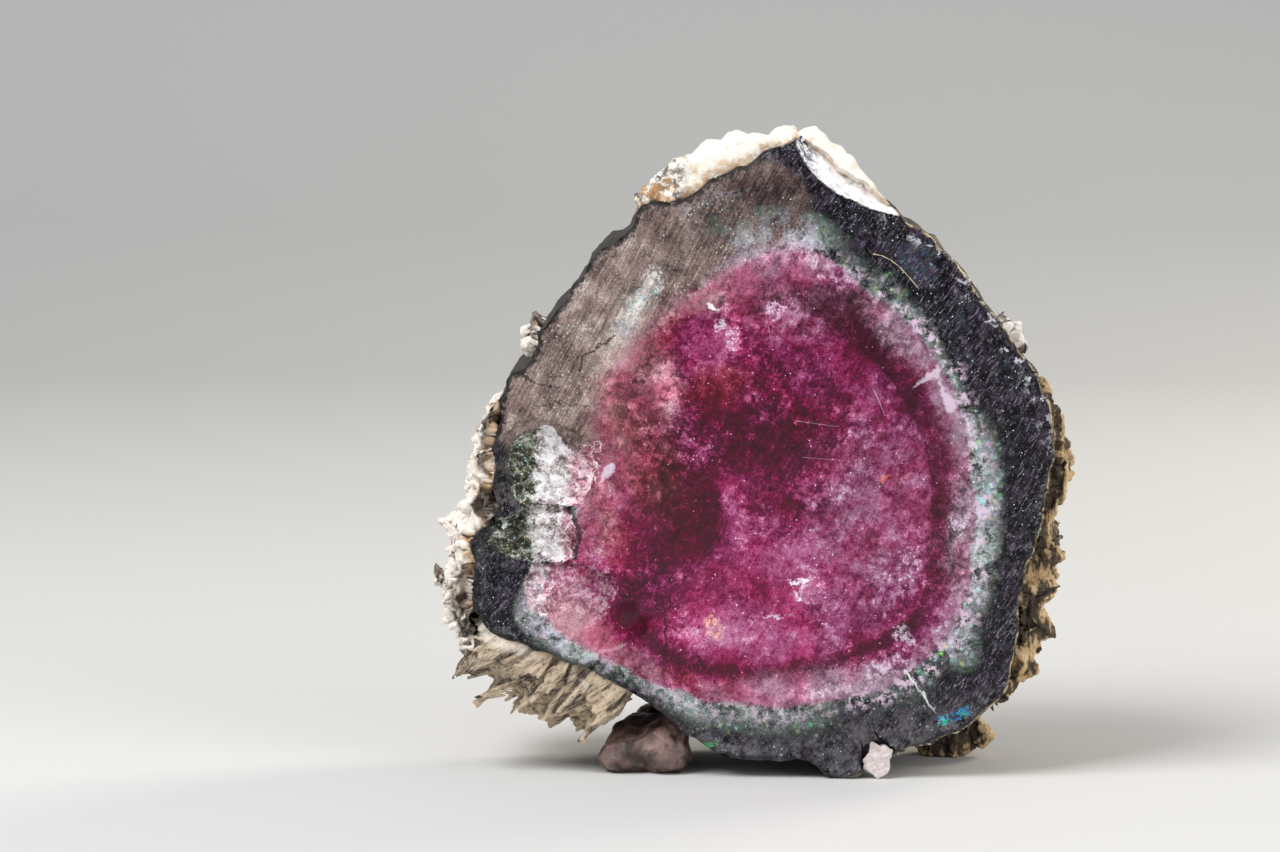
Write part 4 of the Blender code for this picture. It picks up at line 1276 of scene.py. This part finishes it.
# %% A remnant of rock
COARSE_CELL = 0.3  # mm, for the skin of a solid that is made smaller


def rock(name, node, cell, rule, splinters=None, sunk=0.0, worn=False):
    """A remnant of rock from its plain solid. The rule gives the push along the normal in mm.

    The solid can first have its ends worn, and be made smaller by `sunk` mm under its splinters.
    """
    places, faces = plain_solid(node)
    if worn:
        places = worn_ends(places)
    if sunk:
        places, normals, faces = wrapped(places, faces, COARSE_CELL)
        places = [place - normal * sunk for place, normal in zip(places, normals)]
    if splinters:
        places, faces = joined([(places, faces), splinters])
    places, normals, faces = wrapped(places, faces, cell)
    pushes = [rule(place, normal) for place, normal in zip(places, normals)]
    pushed = [seated(place + normal * push) for place, normal, push in zip(places, normals, pushes)]
    places = [place for place, _ in pushed]
    low, high = cad_low / MM, cad_high / MM
    places = [[min(max(p[k], low[k]), high[k]) for k in range(3)] for p in places]
    piece = mesh_piece(name, places, faces, node)
    piece.data.shade_smooth()
    store(piece, "gap", [gap for _, gap in pushed])
    store(piece, "height", pushes if not sunk else [outside(node, place) for place in places])
    print(name, "has", sum(len(face) - 2 for face in faces), "triangles")
    return piece


# %% [markdown]
# Three rules are enough for all of the rock. Folds are ridged noise stretched along the crust. Blocks
# are the cells of a Voronoi pattern, each pushed out by its own amount, with a crack round each. Lumps
# are the same cells, but rounded.


# %% Rules of folds, blocks and lumps
def folds(place, size, stretch=(1, 1, 1)):
    at = Vector(place[k] * stretch[k] / size for k in range(3))
    return noise.ridged_multi_fractal(at, 0.9, 2.1, 4, 0.9, 2.0) - 1.0


def blocks(place, size, crack):
    at = place / size + noise.noise_vector(place * 1.3 / size) * 0.35
    distances, centres = noise.voronoi(at)
    own = noise.cell(centres[0] * 7.3)
    return own - crack * (1 - soft_step(distances[1] - distances[0], 0.0, 0.22))


def lumps(place, size):
    distances, _ = noise.voronoi(place / size)
    return 0.6 - min(distances[0], 1.2)


def chipped_back(place, normal):
    """The two borders along the sawn faces chip back by up to half a millimetre."""
    return abs(normal.y) ** 3 * (0.28 + 0.36 * noise.noise(place * 0.8))


def top_rule(place, normal):
    nodular = 1 - soft_step(place.x + 0.4 * noise.noise(place), -4.5, -3.7)
    smooth = folds(place, 3.6, (1, 0.4, 1.3)) * 0.07 + noise.fractal(place * 1.2, 0.9, 2.1, 5) * 0.055
    rough = lumps(place, 0.7) * 0.36 + noise.fractal(place * 4.0, 0.7, 2.1, 3) * 0.08
    return smooth * (1 - nodular) + rough * nodular - 0.05


def left_rule(place, normal):
    chunk = blocks(place, 1.5, 0.7) * 0.3 + blocks(place, 0.55, 0.8) * 0.13
    return chunk + noise.fractal(place * 3.0, 0.7, 2.1, 4) * 0.09 - 0.14 - chipped_back(place, normal)


def right_rule(place, normal):
    drawn_out = Vector((place.x, place.y * 0.8, place.z * 0.4))
    chunk = blocks(drawn_out, 1.0, 0.8) * 0.2 + blocks(place, 0.5, 0.7) * 0.06
    drapes = folds(place, 1.5, (1.2, 1.0, 0.25)) * 0.14 + noise.fractal(place * 3.0, 0.7, 2.1, 4) * 0.06
    return chunk + drapes - 0.1 - chipped_back(place, normal)


def foot_rule(place, normal):
    return lumps(place, 1.5) * 0.12 + noise.fractal(place * 1.6, 0.8, 2.1, 4) * 0.06 - 0.03


def chip_rule(place, normal):
    return noise.fractal(place * 3.0, 0.8, 2.1, 4) * 0.05


print("a lump's push at its middle is", round(lumps(noise.voronoi(Vector())[1][0], 1.0), 2), "mm")


# %% Making the remnants
def hanging_plates():
    """The lower end of the left crust: a row of plates that hang down onto the blades."""
    laid = []
    for k in range(14):
        shift = noise.noise_vector((0.9 * k, 2.0, 5.0))
        at = Vector((-15.95 + 0.2 * shift.x, -4.2 + 0.65 * k, 8.7 + 0.7 * shift.z))
        down = Vector((0.05, 0.1 * shift.y, -1)).normalized()
        laid.append(splinter(at, down, Vector((-1, 0, 0)), 3.4, 1.0, 0.75))
    return joined(laid)


top_rock = rock("cream_crust", "top_crust", 0.1, top_rule, worn=True)
plates = hanging_plates()
left_rock = rock("flaky_left_crust", "left_crust", 0.1, left_rule, plates, worn=True)
left_flake = rock("upper_left_flake_fine", "upper_left_flake", 0.08, left_rule, worn=True)
right_rock = rock("stained_right_crust", "right_crust", 0.1, right_rule, worn=True)
right_flake = rock("upper_right_flake_fine", "upper_right_flake", 0.08, right_rule, worn=True)
rear_rock = rock("rear_foot_fine", "rear_foot", 0.1, right_rule)
foot = rock("quartz_foot", "grey_foot", 0.09, foot_rule)
chip = rock("feldspar_chip", "white_chip", 0.06, chip_rule)

# %% [markdown]
# ## The albite blades
#
# Under the left shoulder the rock is albite, a feldspar that grows as sheaves of thin blades. No noise
# looks like that, so the blades are made one by one: more than a thousand thin blunt splinters are laid
# over the plain solid, each along the local direction of its sheaf, and then one skin is wrapped round
# all of them. They are one piece, like the sheaf itself.


# %% Laying and wrapping the splinters
def edge_on(place):
    """1 next to the crystal at the left, where the fibres follow its edge."""
    gap = CRYSTAL.find_nearest(place)[3]
    return (1 - soft_step(gap, 0.4, 0.8)) * (1 - soft_step(place.x, -13.0, -12.0))


def sheaf_direction(place):
    """The blades rise to the right, and each sheaf leans its own way."""
    lean = noise.noise(place * 0.45) * 22 + noise.noise(place * 1.7) * 9
    turn = math.radians(24 + lean + 26 * soft_step(place.x, -13.6, -11.0) - 50 * edge_on(place))
    deep = noise.noise(place * 0.6 + Vector((9, 0, 0))) * 0.5
    return Vector((math.cos(turn), deep, math.sin(turn))).normalized()


LEFT_END = -15.2  # about how far to the left blades are laid, in mm


def sheaves(node, count, seed):
    """Splinters laid at random over a plain solid, as one list of places and faces."""
    rng = random.Random(seed)
    places, faces = plain_solid(node)
    fans = [(f[0], f[i], f[i + 1]) for f in faces for i in range(1, len(f) - 1)]
    triangles = [tuple(places[corner] for corner in fan) for fan in fans]
    areas = [((b - a).cross(c - a)).length for a, b, c in triangles]
    laid = []
    for a, b, c in rng.choices(triangles, areas, k=count):
        u, v = sorted((rng.random(), rng.random()))
        at = a * u + b * (v - u) + c * (1 - v)
        normal = (b - a).cross(c - a).normalized()
        if at.x < LEFT_END + 0.4 * noise.noise(at):
            continue
        along = sheaf_direction(at)
        along = (along - normal * along.dot(normal) * 0.6 + normal * rng.uniform(-0.05, 0.13)).normalized()
        size = 1 - 0.5 * edge_on(at)
        length, width = rng.uniform(0.9, 1.7), rng.uniform(0.15, 0.34) * size
        at -= normal * 0.1 + along * along.dot(normal) * length * 0.5
        laid.append(splinter(at, along, normal, length, width, rng.uniform(0.1, 0.15)))
    return joined(laid)


def blade_rule(place, normal):
    along = sheaf_direction(place)
    at = place * 6 - along * along.dot(place) * 5.2
    return noise.noise(at) * 0.05


laid = sheaves("albite_blades", count=1300, seed=7)
blades = rock(
    "albite_blades_fine", "albite_blades", 0.08, blade_rule, splinters=laid, sunk=0.16
)
store(blades, "near", [1 - edge_on(vertex.co / MM) for vertex in blades.data.vertices])

# %% [markdown]
# ## Finishes of the rock
#
# Each finish starts from a light mineral colour, then adds what weathering left: pale brown veils and rust in
# patches. It is also darker where the surface was pushed in, and on the blades and the right crust that is
# painted shade, with painted highlights on what stands out.


# %% Finishes of the rock
def feldspar(name, light, shade, rust, rusty, nodular=False, golden=False):
    """Chalky feldspar with brown stains. `rusty` says how far the stains have spread."""
    f = Finish(name)
    grain, patch = f.pattern("speckle"), f.cloud(0.7, 5.0, 0.65, twist=0.6)
    # Darker where the surface was pushed in.
    hollow = 1 - (f.field("height") + (grain - 0.5) * 0.12).above(-0.42, -0.14)
    colour = f.blend(grain.above(0.3, 0.7), shade, light)
    colour = f.blend(patch.above(0.68 - rusty * 0.3, 0.8 - rusty * 0.2) * 0.75, colour, rust)
    colour = f.blend(hollow * 0.85, colour, (0.1, 0.06, 0.035))
    joint = f.field("gap") + (f.pattern("crumbs") - 0.5) * 0.7
    rusty_joint = joint.above(0.6, 0.3) * patch.above(0.44, 0.56) * min(0.7, rusty * 1.7)
    colour = f.blend(rusty_joint, colour, (0.5, 0.27, 0.09))
    colour = f.blend(joint.above(0.28, 0.1) * 0.75, colour, (0.04, 0.026, 0.02))
    if golden:
        # Painted shade and highlights on the golden crust: near black in the gaps between its folds and pale
        # gold on their crests, over streaks of its golden film.
        worn = f.cloud(1.0, 6.0, 0.7, where=f.scaled(f.place, (2.0, 1.2, 0.4))) - f.field("height") * 0.3
        colour = f.blend(worn.above(0.5, 0.58) * 0.9, colour, (0.03, 0.02, 0.014))
        colour = f.blend(worn.above(0.42, 0.34) * 0.6, colour, (0.9, 0.72, 0.47))
    if nodular:
        here = (0 - f.axis("X") + (patch - 0.5) * 1.5).above(3.5, 4.2)
        sooty, rusty_red = f.cloud(1.6, 6.0, 0.72), f.cloud(1.1, 6.0, 0.74, twist=0.6)
        colour = f.blend(here * sooty.above(0.46, 0.55) * 0.88, colour, (0.045, 0.04, 0.043))
        colour = f.blend(here * rusty_red.above(0.54, 0.6) * 0.8, colour, (0.45, 0.21, 0.06))
        colour = f.blend(here * grain.above(0.58, 0.66) * 0.8, colour, (0.72, 0.62, 0.5))
    normal = f.bumps(grain + f.cloud(1.6, 6.0, 0.6), 0.1)
    return f.done(f.surface(Base_Color=colour, Roughness=0.62 + grain * 0.2, Normal=normal, IOR=1.53))


def bladed():
    f = Finish("albite blades")
    grain = f.cloud(5.0, 3.0, 0.7)
    fibres = f.cloud(1.0, 5.0, 0.7, where=f.turned(32, (1.2, 7.0, 7.0)))
    # Painted shade and highlights: the hollows between the blades are near black and the raised blades their
    # light tan.
    lit_share = (f.field("height") * 2.2 + 0.62 + (fibres - 0.5) * 1.9 + (grain - 0.5) * 0.6).above(0.1, 0.85)
    colour = f.blend(lit_share, (0.035, 0.02, 0.013), (0.64, 0.5, 0.35))
    colour = f.blend((1 - f.field("near")) * (grain * 0.6 + 0.5), colour, (0.85, 0.78, 0.68))
    colour = f.blend(f.cloud(0.6, 5.0, 0.6, twist=0.6).above(0.54, 0.7) * 0.6, colour, (0.4, 0.2, 0.07))
    colour = f.blend(f.cloud(0.9, 6.0, 0.7).above(0.58, 0.7) * 0.6, colour, (0.72, 0.66, 0.58))
    normal = f.bumps(fibres + grain * 0.4, 0.12)
    return f.done(f.surface(Base_Color=colour, Roughness=0.55 + grain * 0.2, Normal=normal, IOR=1.53))


def quartz():
    f = Finish("pinkish grey quartz")
    soft, grain = f.cloud(0.9, 6.0, 0.6, twist=0.5), f.cloud(4.0, 6.0, 0.7)
    colour = f.blend(soft.above(0.35, 0.65), (0.04, 0.023, 0.018), (0.24, 0.145, 0.128))
    colour = f.blend(grain.above(0.56, 0.7) * 0.6, colour, (0.05, 0.03, 0.02))
    normal = f.bumps(soft + grain * 0.3, 0.1)
    return f.done(f.surface(Base_Color=colour, Roughness=0.35 + grain * 0.2, Normal=normal, IOR=1.54))


CREAM, SHADE, RUST = (0.97, 0.93, 0.86), (0.86, 0.77, 0.66), (0.62, 0.42, 0.25)
finishes = {
    top_rock: feldspar("cream feldspar", CREAM, SHADE, (0.66, 0.48, 0.31), 0.42, nodular=True),
    left_rock: feldspar("flaky feldspar", (0.98, 0.93, 0.87), (0.82, 0.71, 0.61), (0.5, 0.31, 0.16), 0.44),
    right_rock: feldspar(
        "stained feldspar", (0.76, 0.56, 0.32), (0.5, 0.31, 0.13), (0.26, 0.15, 0.06), 0.4, golden=True
    ),
    chip: feldspar("white feldspar", (0.79, 0.71, 0.71), (0.62, 0.52, 0.5), RUST, 0.1),
    blades: bladed(),
    foot: quartz(),
}
pale = feldspar("pale feldspar", CREAM, (0.84, 0.76, 0.7), RUST, 0.12)
finishes |= {left_flake: pale, right_flake: pale, rear_rock: finishes[right_rock]}
for piece, finish in finishes.items():
    piece.data.materials.append(finish)
print(len(set(finishes.values())), "finishes on", len(finishes), "pieces of rock")

# %% [markdown]
# ## The studio
#
# A pale sweep of floor, one large soft lamp above and to the left, a weaker one on the right, a warm
# one behind, and a long lens, which shows a small stone without stretching its near side.


# %% Floor and lamps
def sweep():
    """A floor that curves up behind into a backdrop. Its places are in metres."""
    profile = [(-1.2, 0.0), (0.25, 0.0), (0.33, 0.012), (0.4, 0.05), (0.44, 0.12), (0.45, 0.9)]
    bm = bmesh.new()
    rows = [[bm.verts.new((x, y, z)) for y, z in profile] for x in (-1.2, 1.2)]
    for i in range(len(profile) - 1):
        bm.faces.new((rows[0][i], rows[1][i], rows[1][i + 1], rows[0][i + 1]))
    mesh = bpy.data.meshes.new("sweep")
    bm.to_mesh(mesh)
    bm.free()
    floor = bpy.data.objects.new("sweep", mesh)
    f = Finish("pale paper")
    floor.data.materials.append(f.done(f.surface(Base_Color=(0.62, 0.62, 0.61), Roughness=0.85)))
    mesh.shade_smooth()
    bpy.context.scene.collection.objects.link(floor)
    return floor


STONE_MIDDLE = Vector((0, 0, 18 * MM))


def lamp(name, place, size, power, colour=(1, 1, 1)):
    """A square soft lamp that faces the stone. Its place and size are in mm, its power in watts."""
    light = bpy.data.lights.new(name, "AREA")
    light.shape, light.size, light.energy, light.color = "SQUARE", size * MM, power, colour
    obj = bpy.data.objects.new(name, light)
    obj.location = Vector(place) * MM
    aim = STONE_MIDDLE - obj.location
    obj.rotation_euler = aim.to_track_quat("-Z", "Y").to_euler()
    bpy.context.scene.collection.objects.link(obj)
    return obj


sweep()
lamp("key", (-170, -150, 260), 180, 1.12)
lamp("fill", (260, -220, 160), 220, 0.42)
lamp("behind_right", (220, 180, 160), 120, 0.55, (1.0, 0.9, 0.76))
world = bpy.data.worlds.new("studio")
world.use_nodes = True
world.node_tree.nodes["Background"].inputs["Color"].default_value = (0.9, 0.95, 1.0, 1.0)
world.node_tree.nodes["Background"].inputs["Strength"].default_value = 0.4
bpy.context.scene.world = world
bpy.context.scene.view_settings.view_transform = "Standard"
print("a floor and", len(bpy.data.lights), "lamps")

# %% The camera
DISTANCE, RISE = 264.0, math.radians(6)  # mm from the polished face, and how high above it
OPPOSITE_X, OPPOSITE_Z = 2.67, 17.5  # the place on the face that the camera is opposite to
camera = bpy.data.objects.new("camera", bpy.data.cameras.new("camera"))
camera.data.lens, camera.data.sensor_width = 135, 36
back, up = DISTANCE * math.cos(RISE), DISTANCE * math.sin(RISE)
camera.location = Vector((OPPOSITE_X, FRONT - back, OPPOSITE_Z + up)) * MM
looks_at = Vector((-6.19, FRONT, 19.6)) * MM  # left of the stone, so it stands right of the middle
camera.rotation_euler = (looks_at - camera.location).to_track_quat("-Z", "Y").to_euler()
camera.data.clip_start = 0.01
bpy.context.scene.collection.objects.link(camera)
bpy.context.scene.camera = camera
print("the camera is", round((camera.location - looks_at).length / MM), "mm away")
